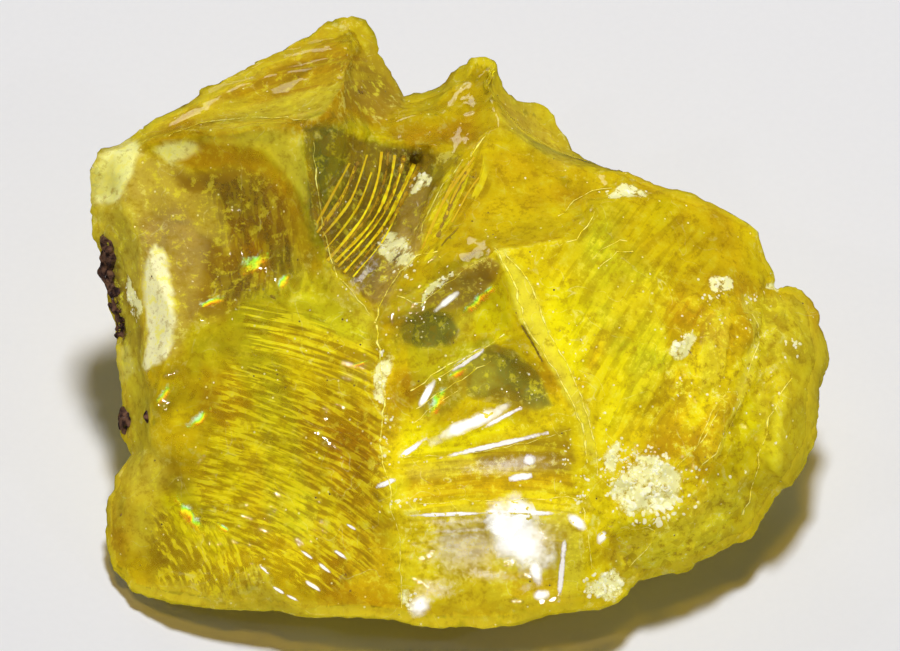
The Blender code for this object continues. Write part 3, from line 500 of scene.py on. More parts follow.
# Raised (and, below zero, sunken) plates of the display side: outline, soft edge, height, in millimetres.
STEPS = (
    (((21.0, 2.4), (23.4, 2.6), (25.2, 0.0), (25.2, -6.5), (23.4, -12.0), (21.0, -9.5),
        (21.5, -4.0)), 0.35, 0.55),
    (((18.4, -4.5), (19.3, -5.1), (17.6, -8.5), (16.5, -9.6), (16.1, -8.5), (17.3, -5.9)), 0.3, 0.50),
    (((12.2, 1.0), (14.2, 1.4), (14.0, -3.6), (12.6, -6.2), (11.6, -5.0)), 0.3, 0.22),
    (((14.4, 4.6), (17.6, 5.4), (17.0, 2.8), (15.0, 1.6)), 0.3, -0.22),
    (((9.4, -0.6), (11.2, 0.2), (10.6, -4.6), (9.2, -6.6)), 0.4, -0.15),
    (((16.6, 0.6), (18.6, 1.2), (18.2, -3.6), (16.2, -4.8)), 0.25, 0.30),
    (((10.4, -14.2), (11.8, -13.5), (13.3, -13.9), (13.0, -15.0), (11.8, -16.2), (10.6, -15.4)), 0.4, -0.35),
    (((8.6, 8.6), (16.0, 9.0), (19.5, 5.5), (14.0, 5.8), (9.0, 6.6)), 0.4, 0.30),
    (((18.6, 0.5), (20.6, 1.0), (20.2, -4.5), (18.9, -3.0)), 0.3, 0.35),
    (((-1.6, -7.7), (-0.6, -7.6), (2.4, -6.1), (3.4, -5.3), (2.0, -5.2), (-0.6, -6.6)), 0.6, 0.22),
    (((2.7, 5.0), (3.3, 5.0), (5.2, 2.6), (6.4, -0.5), (7.8, -3.1), (9.0, -7.0), (8.4, -7.2),
        (7.1, -4.1), (4.3, 0.7)), 0.4, 0.22),
)
# Strips laid along the skin: how deep they are sunk (below zero, how high they float), their material,
# and the strips (right, up, length, width, turn in degrees), in millimetres.
STRIPS = {
    "brown_wisps": (
        0.02,
        "wisp",
        (
            (-15.4, 9.5, 5.2, 2.0, -8),
            (-13.4, 8.4, 4.0, 1.4, -40),
            (-14.2, 5.8, 6.0, 1.2, -76),
            (-12.6, 5.2, 6.4, 0.8, -80),
            (-11.3, 4.8, 5.0, 0.7, -82),
            (-15.6, 6.6, 3.6, 0.8, -60),
            (-19.9, 5.6, 3.4, 0.9, 62),
            (-18.4, 7.0, 2.6, 0.9, -4),
            (-17.0, 6.0, 3.0, 0.5, -24),
            (-16.8, 5.4, 2.4, 0.4, -22),
            (-14.6, 2.6, 3.6, 1.5, 4),
            (-12.6, 1.9, 2.4, 0.8, -20),
            (-9.2, 0.4, 4.4, 0.5, -24),
            (-6.6, 9.0, 2.4, 1.0, 60),
            (-22.6, -0.4, 3.0, 0.8, 80),
            (-6.0, 16.4, 3.0, 1.2, 50),
            (-10.6, 17.2, 5.0, 0.6, 24),
            (13.9, -3.0, 4.8, 0.5, 84),
            (13.8, 2.2, 5.0, 0.3, 88),
            (15.6, -1.9, 1.8, 0.6, 20),
            (9.0, -0.9, 3.4, 0.30, 72),
            (8.1, -3.6, 2.8, 0.24, 80),
            (11.0, -2.6, 3.4, 0.22, 60),
            (-3.9, 4.6, 2.0, 0.7, 40),
            (7.4, 9.9, 2.2, 0.9, -35),
            (-7.2, -17.0, 3.6, 1.4, 10),
            (-5.2, -11.6, 2.6, 0.9, -60),
            (-22.7, -12.4, 3.6, 1.0, 82),
        ),
    ),
    # Painted rainbow glints: thin cracks given rainbow colours and a faint glow, standing in for their
    # glints.
    "rainbow_glints": (
        -0.02,
        "rainbow_paint",
        (
            (1.6, 1.7, 3.8, 0.9, 42),
            (-1.1, -5.0, 3.2, 1.3, 58),
            (-13.6, 4.2, 2.8, 1.8, 20),
            (-11.6, 3.0, 1.8, 0.8, 60),
            (-18.0, -12.9, 4.4, 1.2, -52),
            (-15.7, -13.7, 1.6, 0.6, -30),
            (-16.4, 1.6, 2.4, 0.7, 18),
            (-17.4, -6.4, 2.8, 1.0, 40),
            (-19.6, -4.6, 2.2, 0.9, 50),
            (-6.4, -2.6, 1.6, 0.6, 20),
            (0.2, -3.2, 1.8, 0.8, 30),
        ),
    ),
    # Painted sheen: faint glowing lilac films, mostly on the toe, where its pale reflection would be.
    "sheen_films": (
        -0.02,
        "sheen",
        (
            (0.6, -15.0, 8.0, 5.0, 0),
            (0.0, -13.2, 7.0, 0.7, 3),
            (0.8, -13.8, 6.0, 0.4, 2),
            (2.2, -16.8, 5.0, 1.2, -6),
            (5.4, -14.6, 5.0, 4.0, 20),
            (-1.4, -17.8, 4.4, 2.2, 10),
            (3.6, -9.4, 8.4, 1.6, 6),
            (-6.2, 3.4, 4.6, 1.6, 56),
        ),
    ),
    # Painted highlights: soft white glowing patches on the toe and elsewhere, standing in for the lamps'
    # highlights.
    "white_gleams": (
        -0.03,
        "gleam",
        (
            (4.3, -14.5, 6.6, 3.9, -64),
            (3.2, -13.4, 3.0, 2.2, -30),
            (-1.9, -4.6, 2.2, 0.5, 60),
            (-0.6, 1.6, 2.2, 0.5, 38),
            (5.4, -16.6, 2.4, 1.2, -70),
            (1.0, -6.6, 6.2, 1.0, 25),
            (-2.4, -18.9, 1.8, 1.6, 20),
            (5.8, -18.2, 1.2, 0.9, 10),
            (8.2, -13.2, 1.6, 0.8, -40),
            (9.9, -14.3, 1.0, 0.7, 60),
        ),
    ),
    # White crack lines that are also painted highlights: the ribs' and the toe's bright streaks and the
    # flank's white strokes.
    "cracks_painted_as_highlights": (
        -0.03,
        "crack_highlight",
        (
            (3.2, -6.2, 3.0, 0.34, 28),
            (-0.4, -12.7, 5.6, 0.28, 2),
            (4.6, -12.6, 5.0, 0.34, -2),
            (5.0, -9.0, 1.0, 0.8, 10),
            (4.4, -10.2, 1.6, 0.5, 8),
            (-4.6, -10.6, 1.6, 0.4, 20),
            (2.5, -8.1, 7.8, 0.36, 13),
            (1.0, -2.2, 3.2, 0.5, 35),
            (-2.9, -8.3, 2.6, 0.4, 35),
            (7.2, -16.5, 4.4, 0.42, 85),
            (-7.7, -15.5, 1.1, 0.26, -35),
            (-8.8, -16.4, 1.2, 0.26, -38),
            (-10.0, -15.5, 1.0, 0.20, -35),
            (-9.6, -17.6, 1.2, 0.26, -32),
            (-11.0, -18.4, 1.0, 0.22, -28),
            (-12.9, -16.5, 0.9, 0.20, -40),
            (-11.9, -17.9, 1.0, 0.22, -32),
            (-7.0, -13.6, 0.8, 0.18, -30),
        ),
    ),
}
# Bent lines that stand out of the skin: their material and jaggedness, and each line's width and the
# points (right, up) it runs through, in millimetres.
LINES = {
    "gully_ribs": (
        "rib",
        0.0,
        (
            (0.15, ((-9.4, 6.8), (-8.1, 9.3), (-7.2, 11.0))),
            (0.18, ((-9.3, 6.3), (-7.7, 8.7), (-6.8, 10.8))),
            (0.14, ((-9.0, 6.0), (-7.1, 8.5), (-6.0, 11.6))),
            (0.12, ((-8.7, 5.2), (-6.7, 7.9), (-5.7, 10.4))),
            (0.20, ((-8.6, 4.4), (-6.3, 7.3), (-5.3, 9.8), (-5.0, 11.8))),
            (0.20, ((-8.1, 4.3), (-5.6, 7.1), (-4.5, 9.5), (-4.1, 11.6))),
            (0.14, ((-7.9, 4.0), (-5.4, 6.8), (-4.1, 9.2), (-3.5, 11.4))),
            (0.22, ((-7.5, 3.6), (-5.0, 6.6), (-3.7, 9.0), (-2.8, 11.0))),
            (0.13, ((-6.9, 3.3), (-5.0, 5.6), (-4.0, 7.6))),
            (0.12, ((-2.2, 5.2), (-1.2, 7.6), (0.0, 9.6), (1.3, 11.4))),
            (0.14, ((-0.6, 7.4), (0.0, 9.0), (1.0, 10.6))),
            (0.12, ((-1.7, 6.2), (-0.8, 8.4), (0.4, 10.8))),
            (0.10, ((-0.2, 7.0), (0.9, 9.0), (1.6, 10.0))),
        ),
    ),
    # Painted shade: wider, darker amber strips beside the ribs, which give them depth.
    "rib_shades": (
        "rib_shade",
        0.0,
        (
            (0.50, ((-9.0, 6.4), (-7.5, 9.0), (-6.6, 11.2))),
            (0.50, ((-8.0, 4.9), (-5.8, 7.6), (-4.8, 10.0), (-4.5, 11.9))),
            (0.55, ((-7.4, 4.3), (-5.2, 7.2), (-4.0, 9.6), (-3.5, 11.6))),
            (0.60, ((-6.9, 3.7), (-4.5, 6.8), (-3.2, 9.2), (-2.3, 11.0))),
            (0.50, ((-1.2, 6.0), (-0.2, 8.4), (0.8, 10.4))),
        ),
    ),
    "pale_lines": (
        "line",
        0.25,
        (
            (0.20, ((2.7, 5.2), (3.9, 3.0), (4.6, 0.5), (6.0, -1.9), (7.4, -4.3), (8.5, -6.7), (8.9, -9.2))),
            (0.16, ((3.3, 5.0), (5.2, 2.6), (6.3, -0.5), (7.7, -2.9), (8.7, -5.5), (9.4, -8.0),
                (9.6, -10.0))),
            (0.18, ((-5.3, 0.0), (-5.1, -1.7), (-4.9, -3.7), (-4.8, -5.4), (-5.0, -8.5), (-4.4, -10.5),
                (-4.3, -12.5))),
            (0.14, ((-4.3, -12.5), (-3.7, -14.6), (-3.7, -17.0), (-3.6, -19.0))),
            (0.16, ((-5.4, 0.2), (-4.1, 3.1), (-2.6, 4.6), (-1.2, 5.0))),
            (0.16, ((-2.4, 5.8), (-1.2, 9.0), (1.0, 11.5), (2.2, 13.0))),
            (0.14, ((-19.4, 12.9), (-15.9, 13.9), (-9.8, 14.0))),
            (0.24, ((22.8, -3.6), (21.6, -5.6), (20.9, -7.8), (20.2, -10.6), (19.5, -12.8))),
            (0.12, ((18.4, -4.5), (19.3, -5.1), (17.6, -8.5), (16.5, -9.6))),
            (0.10, ((16.1, -8.5), (17.3, -5.9), (18.4, -4.5))),
            (0.12, ((10.3, -14.3), (11.8, -13.6), (13.4, -13.9), (12.9, -15.2), (11.8, -16.3))),
            (0.12, ((19.9, 1.7), (20.6, -0.6), (19.8, -3.2))),
            (0.12, ((14.9, -9.6), (16.6, -7.8), (17.8, -5.6))),
            (0.10, ((7.1, 5.4), (8.1, 5.8), (9.0, 6.7), (9.4, 7.7))),
            (0.10, ((-3.9, 2.0), (-2.2, 1.6), (-0.1, 3.2), (1.8, 4.4))),
            (0.12, ((-3.0, -4.4), (-1.0, -3.0), (1.8, -1.6), (3.3, -0.6))),
            (0.10, ((-2.6, -5.6), (0.4, -3.6), (2.4, -2.4))),
            (0.10, ((-2.8, -6.6), (-0.8, -5.0), (0.2, -4.4))),
            (0.08, ((-1.8, -3.9), (0.8, -2.3))),
            (0.10, ((-3.4, -8.9), (2.0, -8.5), (7.8, -7.0))),
            (0.10, ((-3.6, -12.2), (0.5, -11.8), (4.0, -11.7), (8.6, -11.6))),
            (0.12, ((8.6, -11.6), (8.9, -14.0), (9.2, -16.4))),
            (0.10, ((9.2, 4.4), (10.2, 5.4), (11.6, 5.7))),
            (0.10, ((9.8, 4.0), (10.9, 4.9), (12.0, 5.0))),
            (0.08, ((7.0, 7.4), (8.6, 8.8), (10.6, 9.3))),
            (0.10, ((-9.6, 12.4), (-9.3, 8.4), (-8.2, 4.0), (-5.6, 0.6))),
        ),
    ),
    "dark_lines": (
        "umber",
        0.1,
        (
            (0.14, ((4.5, 0.0), (5.2, -1.2), (5.9, -2.4))),
            (0.10, ((-0.9, 5.4), (0.2, 6.6))),
        ),
    ),
}
# Pieces on the skin: their material, how finely they are cut, how flat and how lumpy they are, and the
# clusters (right, up, half width, half height, turn in degrees, count, size), in millimetres.
LOOSE = {
    "matrix_crumbs": (
        "matrix",
        3,
        0.40,
        0.5,
        (
            (-22.5, -6.6, 0.3, 0.7, 0, 6, 1.3),
            (-23.7, 4.2, 0.3, 1.6, 8, 16, 1.3),
            (-23.0, 0.8, 0.3, 1.9, 12, 16, 1.1),
        ),
    ),
    "crushed_flakes": (
        "flake",
        1,
        0.28,
        0.1,
        (
            (13.4, -12.0, 1.8, 1.4, 20, 60, 0.60),
            (12.2, -10.0, 2.6, 1.9, 20, 210, 0.30),
            (13.8, -11.4, 3.4, 2.0, 20, 60, 0.30),
            (10.5, -8.6, 1.4, 0.5, 50, 20, 0.36),
            (10.0, -17.6, 1.4, 1.0, 0, 50, 0.42),
            (18.0, 3.0, 0.7, 0.4, 40, 9, 0.60),
            (17.3, 1.9, 0.9, 0.4, 40, 9, 0.34),
            (15.2, -1.2, 0.9, 0.5, 50, 7, 0.80),
            (16.0, -0.4, 1.6, 0.3, 40, 12, 0.22),
            (22.8, -1.6, 0.8, 0.8, 0, 12, 0.30),
            (20.4, 1.9, 0.9, 0.2, 20, 9, 0.34),
            (-4.6, -7.6, 0.5, 2.2, 0, 22, 0.24),
            (-3.2, -11.9, 1.6, 0.3, 0, 14, 0.24),
            (8.6, -11.4, 0.5, 1.6, 0, 20, 0.26),
            (7.6, -8.6, 0.4, 1.4, 0, 12, 0.20),
            (11.6, 9.1, 1.9, 0.3, 0, 18, 0.36),
            (-3.9, 5.0, 1.1, 2.2, 30, 34, 0.30),
            (-2.4, 9.9, 0.9, 0.6, 40, 12, 0.40),
            (-4.8, -3.8, 0.4, 2.4, 0, 26, 0.30),
            (-1.3, 2.5, 1.8, 0.2, 42, 22, 0.30),
            (-22.0, 1.9, 0.3, 1.8, 10, 24, 0.30),
            (-2.8, -18.8, 0.8, 0.7, 0, 14, 0.32),
            (18.5, -4.0, 4.0, 8.0, 10, 60, 0.24),
            (-2.0, 0.0, 1.6, 1.2, 0, 14, 0.12),
            (4.0, -3.4, 2.4, 1.4, -30, 18, 0.12),
            (-8.0, 8.0, 1.6, 4.0, 20, 16, 0.14),
            (8.6, -3.0, 0.8, 6.0, 18, 26, 0.16),
            (0.0, 0.0, 20.0, 14.0, 0, 110, 0.14),
        ),
    ),
}


def only(*objects):
    """Selects these objects and nothing else, and makes the first one active."""
    bpy.ops.object.select_all(action="DESELECT")
    for chosen in objects:
        chosen.select_set(True)
    bpy.context.view_layer.objects.active = objects[0]


def modify(piece, kind, **settings):
    """Adds a modifier to a piece and applies it."""
    modifier = piece.modifiers.new(kind.title(), kind)
    for name, value in settings.items():
        setattr(modifier, name, value)
    only(piece)
    bpy.ops.object.modifier_apply(modifier=modifier.name)


def places_of(piece):
    """The places and normals of a mesh's vertices, as two arrays."""
    count = len(piece.data.vertices)
    places, normals = np.zeros(count * 3), np.zeros(count * 3)
    piece.data.vertices.foreach_get("co", places)
    piece.data.vertices.foreach_get("normal", normals)
    return places.reshape(-1, 3), normals.reshape(-1, 3)


def smooth(share):
    """A share from 0 to 1, with its ends eased."""
    held = np.clip(share, 0.0, 1.0)
    return held * held * (3 - 2 * held)


def wavering(places, size, seed):
    """Noise at each place, with lumps of this many millimetres."""
    shift = Vector((seed, 2.0 * seed, 3.0 * seed))
    return np.array([noise.noise(Vector(place) + shift) for place in places / (size * MM)])


def crested(waves):
    """Noise as ripples, from 0 in the hollows to 1 on the crests."""
    return smooth(0.5 + waves * RIPPLE_STRENGTH)


class DisplaySide:
    """The display side of a piece: each vertex as a spot (right, up), and how far it faces outward."""

    def __init__(self, places, normals):
        self.places = places
        self.laid = laid_out(places)
        outward = normals @ np.array(TO_LAYOUT)[2]
        self.facing = np.clip(outward * FACING_SLOPE + FACING_START, 0.0, 1.0)
        self.hidden = smooth(-HIDDEN_SLOPE * outward - HIDDEN_START)
        slow_size, slow_reach, slow_starts = SLOW_WANDER
        quick_size, quick_reach, quick_starts = QUICK_WANDER
        slow = [wavering(places, slow_size, start) for start in slow_starts]
        quick = [wavering(places, quick_size, start) for start in quick_starts]
        self.waver = np.stack(slow, axis=1) * slow_reach + np.stack(quick, axis=1) * quick_reach
        self.patchy = slow[0] + slow[1] + 0.5 * quick[0]
        self.rear_sets = []

    def within_ellipses(self, patches):
        """1 well inside a patch, falling to 0 at its edge."""
        share = np.zeros(len(self.laid))
        spots = self.laid[:, :2] + self.waver
        for right, up, half_width, half_height, turn in patches:
            sine, cosine = math.sin(math.radians(turn)), math.cos(math.radians(turn))
            across, along = spots[:, 0] - right, spots[:, 1] - up
            reach = np.hypot(
                (across * cosine + along * sine) / half_width, (along * cosine - across * sine) / half_height
            )
            share = np.maximum(share, smooth((1.0 - reach) / 0.5))
        return share * self.facing

    def within_outline(self, outline, softness):
        """1 inside an outline, falling to 0 across its soft edge. The softer it is, the more it wavers."""
        spots = self.laid[:, :2] + self.waver * min(softness, 1.0)
        inside = np.zeros(len(spots), bool)
        nearest = np.full(len(spots), np.inf)
        for start, end in zip(outline, outline[1:] + outline[:1]):
            run = np.array(end) - np.array(start)
            offset = spots - np.array(start)
            along = np.clip(offset @ run / (run @ run), 0.0, 1.0)
            nearest = np.minimum(nearest, np.linalg.norm(offset - along[:, None] * run, axis=1))
            crosses = (start[1] > spots[:, 1]) != (end[1] > spots[:, 1])
            slope = run[0] / (run[1] or 1.0)
            inside ^= crosses & (offset[:, 0] < slope * offset[:, 1])
        signed = np.where(inside, nearest, -nearest)
        return smooth(0.5 + signed / softness) * self.facing

    def ripple_steps(self, number, centre, period, length):
        """How many ripples off their centre and lengths along them each vertex lies, and the set's lane."""
        offset = self.laid - np.array(centre)
        reach = np.linalg.norm(offset, axis=1)
        along = np.arctan2(offset[:, 1], offset[:, 0]) * reach.mean()
        return np.stack([reach / period, along / length, np.full(len(reach), LANE * number)], axis=1)

    def rear_ripples(self):
        """The far side's ripples, set by set: each vertex's crest and its share in them, and their height."""
        if self.rear_sets:
            return self.rear_sets
        by_patches, by_waver = REAR_WANDER
        for centre, reach, period, height in REAR_RIPPLES:
            away = np.linalg.norm(self.places / MM - np.array(centre), axis=1)
            wander = by_patches * self.patchy + self.waver[:, 0] * by_waver
            steps = (away + wander) / period
            waves = np.array([noise.noise(Vector((step, 0.3 * step, 7.0))) for step in steps])
            share = smooth((reach - away) / REAR_EDGE) * self.hidden
            self.rear_sets.append((crested(waves), share, height))
        return self.rear_sets


def group_of(piece, name, weights):
    """A vertex group with these weights."""
    group = piece.vertex_groups.new(name=name)
    for index in np.flatnonzero(weights > TRACE):
        group.add([int(index)], float(weights[index]), "REPLACE")
    return group.name


def attribute_of(piece, name, values):
    """A number, three or four on each vertex, which the finish reads."""
    kind, key = {1: ("FLOAT", "value"), 3: ("FLOAT_VECTOR", "vector"), 4: ("FLOAT_COLOR", "color")}[
        1 if values.ndim == 1 else values.shape[1]
    ]
    attribute = piece.data.attributes.new(name, kind, "POINT")
    attribute.data.foreach_set(key, values.ravel())


def weights_of(piece, name):
    """The weights of a vertex group as an array."""
    number = piece.vertex_groups[name].index
    weights = np.zeros(len(piece.data.vertices))
    for vert in piece.data.vertices:
        for entry in vert.groups:
            if entry.group == number:
                weights[vert.index] = entry.weight
    return weights


def drift(places, size):
    """A slow pattern from 0 to 1 at each place, with lumps of this many millimetres."""
    broad, fine = wavering(places, size, 0.0), wavering(places, size / 2.3, 4.0)
    return np.clip(0.5 + 0.7 * broad + 0.35 * fine, 0.0, 1.0)


def tones_at(side, slow):
    """The tone of each vertex: its own drift from lemon to amber, with the stains laid over it, and painted
    shade in the far side's ripple hollows.
    """
    lemon, amber, lime = (np.array(TONES[name]) for name in ("lemon", "amber", "lime"))
    warm = smooth((slow - WARM_FROM) / WARM_OVER)[:, None]
    cool = smooth((COOL_FROM - slow) / COOL_OVER)[:, None]
    tones = lemon * (1 - warm - cool) + amber * warm + lime * cool
    for tone, strength, softness, outline in STAINS:
        share = side.within_outline(outline, softness)[:, None] * strength
        tones = tones * (1 - share) + np.array(TONES[tone]) * share
    # Painted shade in the hollows of the far side's ripples.
    for waves, share, _ in side.rear_ripples():
        tones[:, :3] *= 1.0 - REAR_HOLLOW_SHADE * ((1.0 - waves) * share)[:, None]
    tones[:, :3] *= 1.0 + PATCH_DEPTH * np.clip(side.patchy, PATCH_LEAST, PATCH_MOST)[:, None]
    return tones


def lay_striae(stone, side):
    """Notes on each vertex where it lies along and across its set of ripples, and how strong they are."""
    steps, share = np.zeros((len(side.laid), 3)), np.zeros(len(side.laid))
    for number, (centre, softness, outline, period, length, _, contrast) in enumerate(RIPPLES.values()):
        weights = side.within_outline(outline, softness) * contrast
        stronger = weights > share
        steps[stronger] = side.ripple_steps(number, centre, period, length)[stronger]
        share[stronger] = weights[stronger]
    attribute_of(stone, "striae_steps", steps)
    attribute_of(stone, "striae_share", share)


def press(piece, weights, height):
    """Moves a piece's skin out by this many millimetres where the weights are 1."""
    group = group_of(piece, "pressed", weights)
    modify(piece, "DISPLACE", strength=height * MM, mid_level=0.0, vertex_group=group)
    piece.vertex_groups.remove(piece.vertex_groups[group])


def displace(piece, pattern, height, group="", middle=0.5):
    """Moves a piece's skin along its normals by a pattern, this many millimetres, and removes the pattern."""
    guide = bpy.data.objects.new("guide", None)
    bpy.context.scene.collection.objects.link(guide)
    guide.scale = Vector((1.0, 1.0, 1.0)) * MM
    guide.location = LAYOUT_ZERO
    bpy.context.view_layer.update()
    modify(
        piece,
        "DISPLACE",
        texture=pattern,
        texture_coords="OBJECT",
        texture_coords_object=guide,
        strength=height * MM,
        mid_level=middle,
        vertex_group=group,
    )
    bpy.data.objects.remove(guide)
    bpy.data.textures.remove(pattern)


def lumps(size, depth=2):
    """A pattern of soft lumps of about this many millimetres."""
    pattern = bpy.data.textures.new("lumps", "CLOUDS")
    pattern.noise_scale = size
    pattern.noise_depth = depth
    return pattern


def cells(size):
    """A pattern of flat-sided cells of about this many millimetres."""
    pattern = bpy.data.textures.new("cells", "VORONOI")
    pattern.noise_scale = size
    return pattern


def copy_of(node, name):
    """A loose copy of a node, with a mesh of its own."""
    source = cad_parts[node]
    piece = bpy.data.objects.new(name, source.data.copy())
    piece.data.name = name
    piece.data.materials.clear()
    bpy.context.scene.collection.objects.link(piece)
    return piece


def crease_ridges(stone, shape):
    """Joins the stone's loose triangles, pairs them, and holds its ridges sharp."""
    only(stone)
    bpy.ops.object.mode_set(mode="EDIT")
    bpy.ops.mesh.select_mode(type="EDGE")
    bpy.ops.mesh.select_all(action="SELECT")
    bpy.ops.mesh.remove_doubles(threshold=MERGE_DISTANCE)
    bpy.ops.mesh.tris_convert_to_quads(face_threshold=PAIR_ANGLE, shape_threshold=PAIR_SKEW)
    bpy.ops.mesh.select_all(action="DESELECT")
    bpy.ops.mesh.edges_select_sharp(sharpness=shape.ridge_angle)
    bpy.ops.transform.edge_crease(value=shape.ridge_crease)
    bpy.ops.object.mode_set(mode="OBJECT")
    creases = stone.data.attributes["crease_edge"].data
    on_ridge = np.zeros(len(stone.data.vertices))
    for edge in stone.data.edges:
        if creases[edge.index].value > 0:
            for number in edge.vertices:
                on_ridge[number] = 1.0
    group_of(stone, "ridges", on_ridge)


def refine(stone, share_of):
    """Splits the faces where a share of the display side is above a trace."""
    faces = stone.data.polygons
    centres, normals = np.zeros(len(faces) * 3), np.zeros(len(faces) * 3)
    faces.foreach_get("center", centres)
    faces.foreach_get("normal", normals)
    inside = share_of(DisplaySide(centres.reshape(-1, 3), normals.reshape(-1, 3))) > SPLIT_SHARE
    only(stone)
    bpy.ops.object.mode_set(mode="EDIT")
    bpy.ops.mesh.select_mode(type="FACE")
    bpy.ops.mesh.select_all(action="DESELECT")
    bpy.ops.object.mode_set(mode="OBJECT")
    faces.foreach_set("select", inside)
    bpy.ops.object.mode_set(mode="EDIT")
    bpy.ops.mesh.subdivide(number_cuts=1, smoothness=0.0)
    bpy.ops.object.mode_set(mode="OBJECT")


def rippled(side, names):
    """The share of a set of ripples at each vertex."""
    shares = [side.within_outline(RIPPLES[name][2], RIPPLES[name][1]) for name in names]
    return np.max(shares, axis=0)


def shrink(piece, width, thickness):
    """Draws a piece in towards its middle: across the display side, and through it."""
    tilt = math.pi / 2 - SIGHT_DROP
    only(piece)
    bpy.ops.object.mode_set(mode="EDIT")
    bpy.ops.mesh.select_all(action="SELECT")
    bpy.ops.transform.rotate(value=tilt, orient_axis="X", center_override=MIDDLE)
    bpy.ops.transform.resize(value=(width, width, thickness), center_override=MIDDLE)
    bpy.ops.transform.rotate(value=-tilt, orient_axis="X", center_override=MIDDLE)
    bpy.ops.object.mode_set(mode="OBJECT")


def joined(pieces, name):
    """These pieces as one, in the place of the first."""
    only(*pieces)
    bpy.ops.object.join()
    whole = bpy.context.object
    whole.name = name
    whole.data.name = name
    return whole


def strip_at(right, up, length, width, turn):
    """A flat strip that floats in front of this spot of the display side."""
    long_cuts, cross_cuts = max(2, round(length / STRIP_STEP)), max(2, round(width / STRIP_STEP))
    bpy.ops.mesh.primitive_grid_add(x_subdivisions=long_cuts, y_subdivisions=cross_cuts, size=MM)
    strip = bpy.context.object
    strip.scale = (length, width, 1.0)
    bpy.ops.object.transform_apply(location=False, rotation=False, scale=True)
    facing = TO_LAYOUT.inverted() @ Matrix.Rotation(math.radians(turn), 3, "Z")
    strip.rotation_euler = facing.to_euler()
    strip.location = stand(right, up, STRIP_START)
    return strip


def cut_overhang(sheets):
    """Cuts off the parts of strips that reach past the stone's outline, which were not brought down."""
    places, _ = places_of(sheets)
    floating = np.abs(places[:, 2]) < MERGE_DISTANCE
    if floating.all():
        raise RuntimeError(f"{sheets.name} misses the stone")
    only(sheets)
    bpy.ops.object.mode_set(mode="EDIT")
    bpy.ops.mesh.select_mode(type="VERT")
    bpy.ops.mesh.select_all(action="DESELECT")
    bpy.ops.object.mode_set(mode="OBJECT")
    sheets.data.vertices.foreach_set("select", floating)
    bpy.ops.object.mode_set(mode="EDIT")
    bpy.ops.mesh.delete(type="VERT")
    bpy.ops.object.mode_set(mode="OBJECT")


def laid_strips(stone, name, strips, sink=0.0, thickness=0.0):
    """Strips brought down on the stone's skin, and sunk in it, as one piece that rides on the stone."""
    sheets = joined([strip_at(*strip) for strip in strips], name)
    modify(
        sheets,
        "SHRINKWRAP",
        target=stone,
        wrap_method="PROJECT",
        use_project_z=True,
        use_negative_direction=True,
        use_positive_direction=False,
        offset=-sink * MM,
    )
    cut_overhang(sheets)
    if thickness:
        modify(sheets, "SOLIDIFY", thickness=thickness * MM, offset=0.0)
    only(sheets)
    bpy.ops.object.transform_apply(location=True, rotation=True, scale=True)
    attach(sheets, "root")
    return sheets


def legs_of(width, points, jaggedness):
    """A bent line through these points, as short straight strips."""
    knots = [Vector((*point, 0.0)) for point in points]
    reached = [knots[0], *knots, knots[-1]]
    stops = [knots[0]]
    for before, start, end, after in zip(reached, reached[1:], reached[2:], reached[3:]):
        count = max(3, math.ceil((end - start).length / LEG_LENGTH) + 1)
        leaving, arriving = start + (end - before) / 6, end - (after - start) / 6
        stops += interpolate_bezier(start, leaving, arriving, end, count)[1:]
    for stop in stops[1:-1]:
        spot = stop * 1.7 + Vector((0.0, 0.0, 0.3))
        stop += Vector((noise.noise(spot), noise.noise(spot + Vector((9.0, 0.0, 0.0))), 0.0)) * jaggedness
    legs = []
    for start, end in zip(stops, stops[1:]):
        run = end - start
        middle = (start + end) / 2
        wide = width * (1.0 + LINE_SWING * noise.noise(middle * 0.6 + Vector((0.0, 0.0, 2.6))))
        turn = math.degrees(math.atan2(run.y, run.x))
        legs.append((middle.x, middle.y, run.length * LEG_OVERLAP, wide, turn))
    return legs


def skin_under(piece, right, up):
    """Where a piece's skin lies under this spot of the display side, and which way it faces.

    A spot beyond the piece's outline is drawn in to the nearest skin."""
    start, towards = stand(right, up, RAY_START), stand(right, up, 0.0) - stand(right, up, 1.0)
    found, place, normal, _ = piece.ray_cast(start, towards.normalized())
    if not found:
        found, place, normal, _ = piece.closest_point_on_mesh(stand(right, up, 0.0))
    return place, normal


def cluster_on(stone, chance, fineness, flatness, right, up, half_width, half_height, turn, count, size):
    """Chips of about this size in millimetres, strewn on the skin within a patch."""
    chips = []
    sine, cosine = math.sin(math.radians(turn)), math.cos(math.radians(turn))
    for _ in range(count):
        angle, reach = chance.uniform(0.0, math.tau), chance.random() ** CROWDING
        across, along = half_width * reach * math.cos(angle), half_height * reach * math.sin(angle)
        place, normal = skin_under(
            stone, right + across * cosine - along * sine, up + along * cosine + across * sine
        )
        radius = size * MM / 2 * chance.uniform(*CHIP_SIZES)
        if place.z - radius < FOOT_HEIGHT:
            continue
        tilts = chance.uniform(*CHIP_TILTS), chance.uniform(*CHIP_TILTS)
        turned = Euler((*tilts, chance.uniform(0.0, math.tau)))
        facing = normal.to_track_quat("Z", "Y") @ turned.to_quaternion()
        bpy.ops.mesh.primitive_ico_sphere_add(
            subdivisions=fineness,
            radius=radius,
            location=place - normal * radius * CHIP_SINK,
            rotation=facing.to_euler(),
            scale=(1.0, chance.uniform(*CHIP_WIDTHS), flatness * chance.uniform(*CHIP_FLATS)),
        )
        chips.append(bpy.context.object)
    return chips


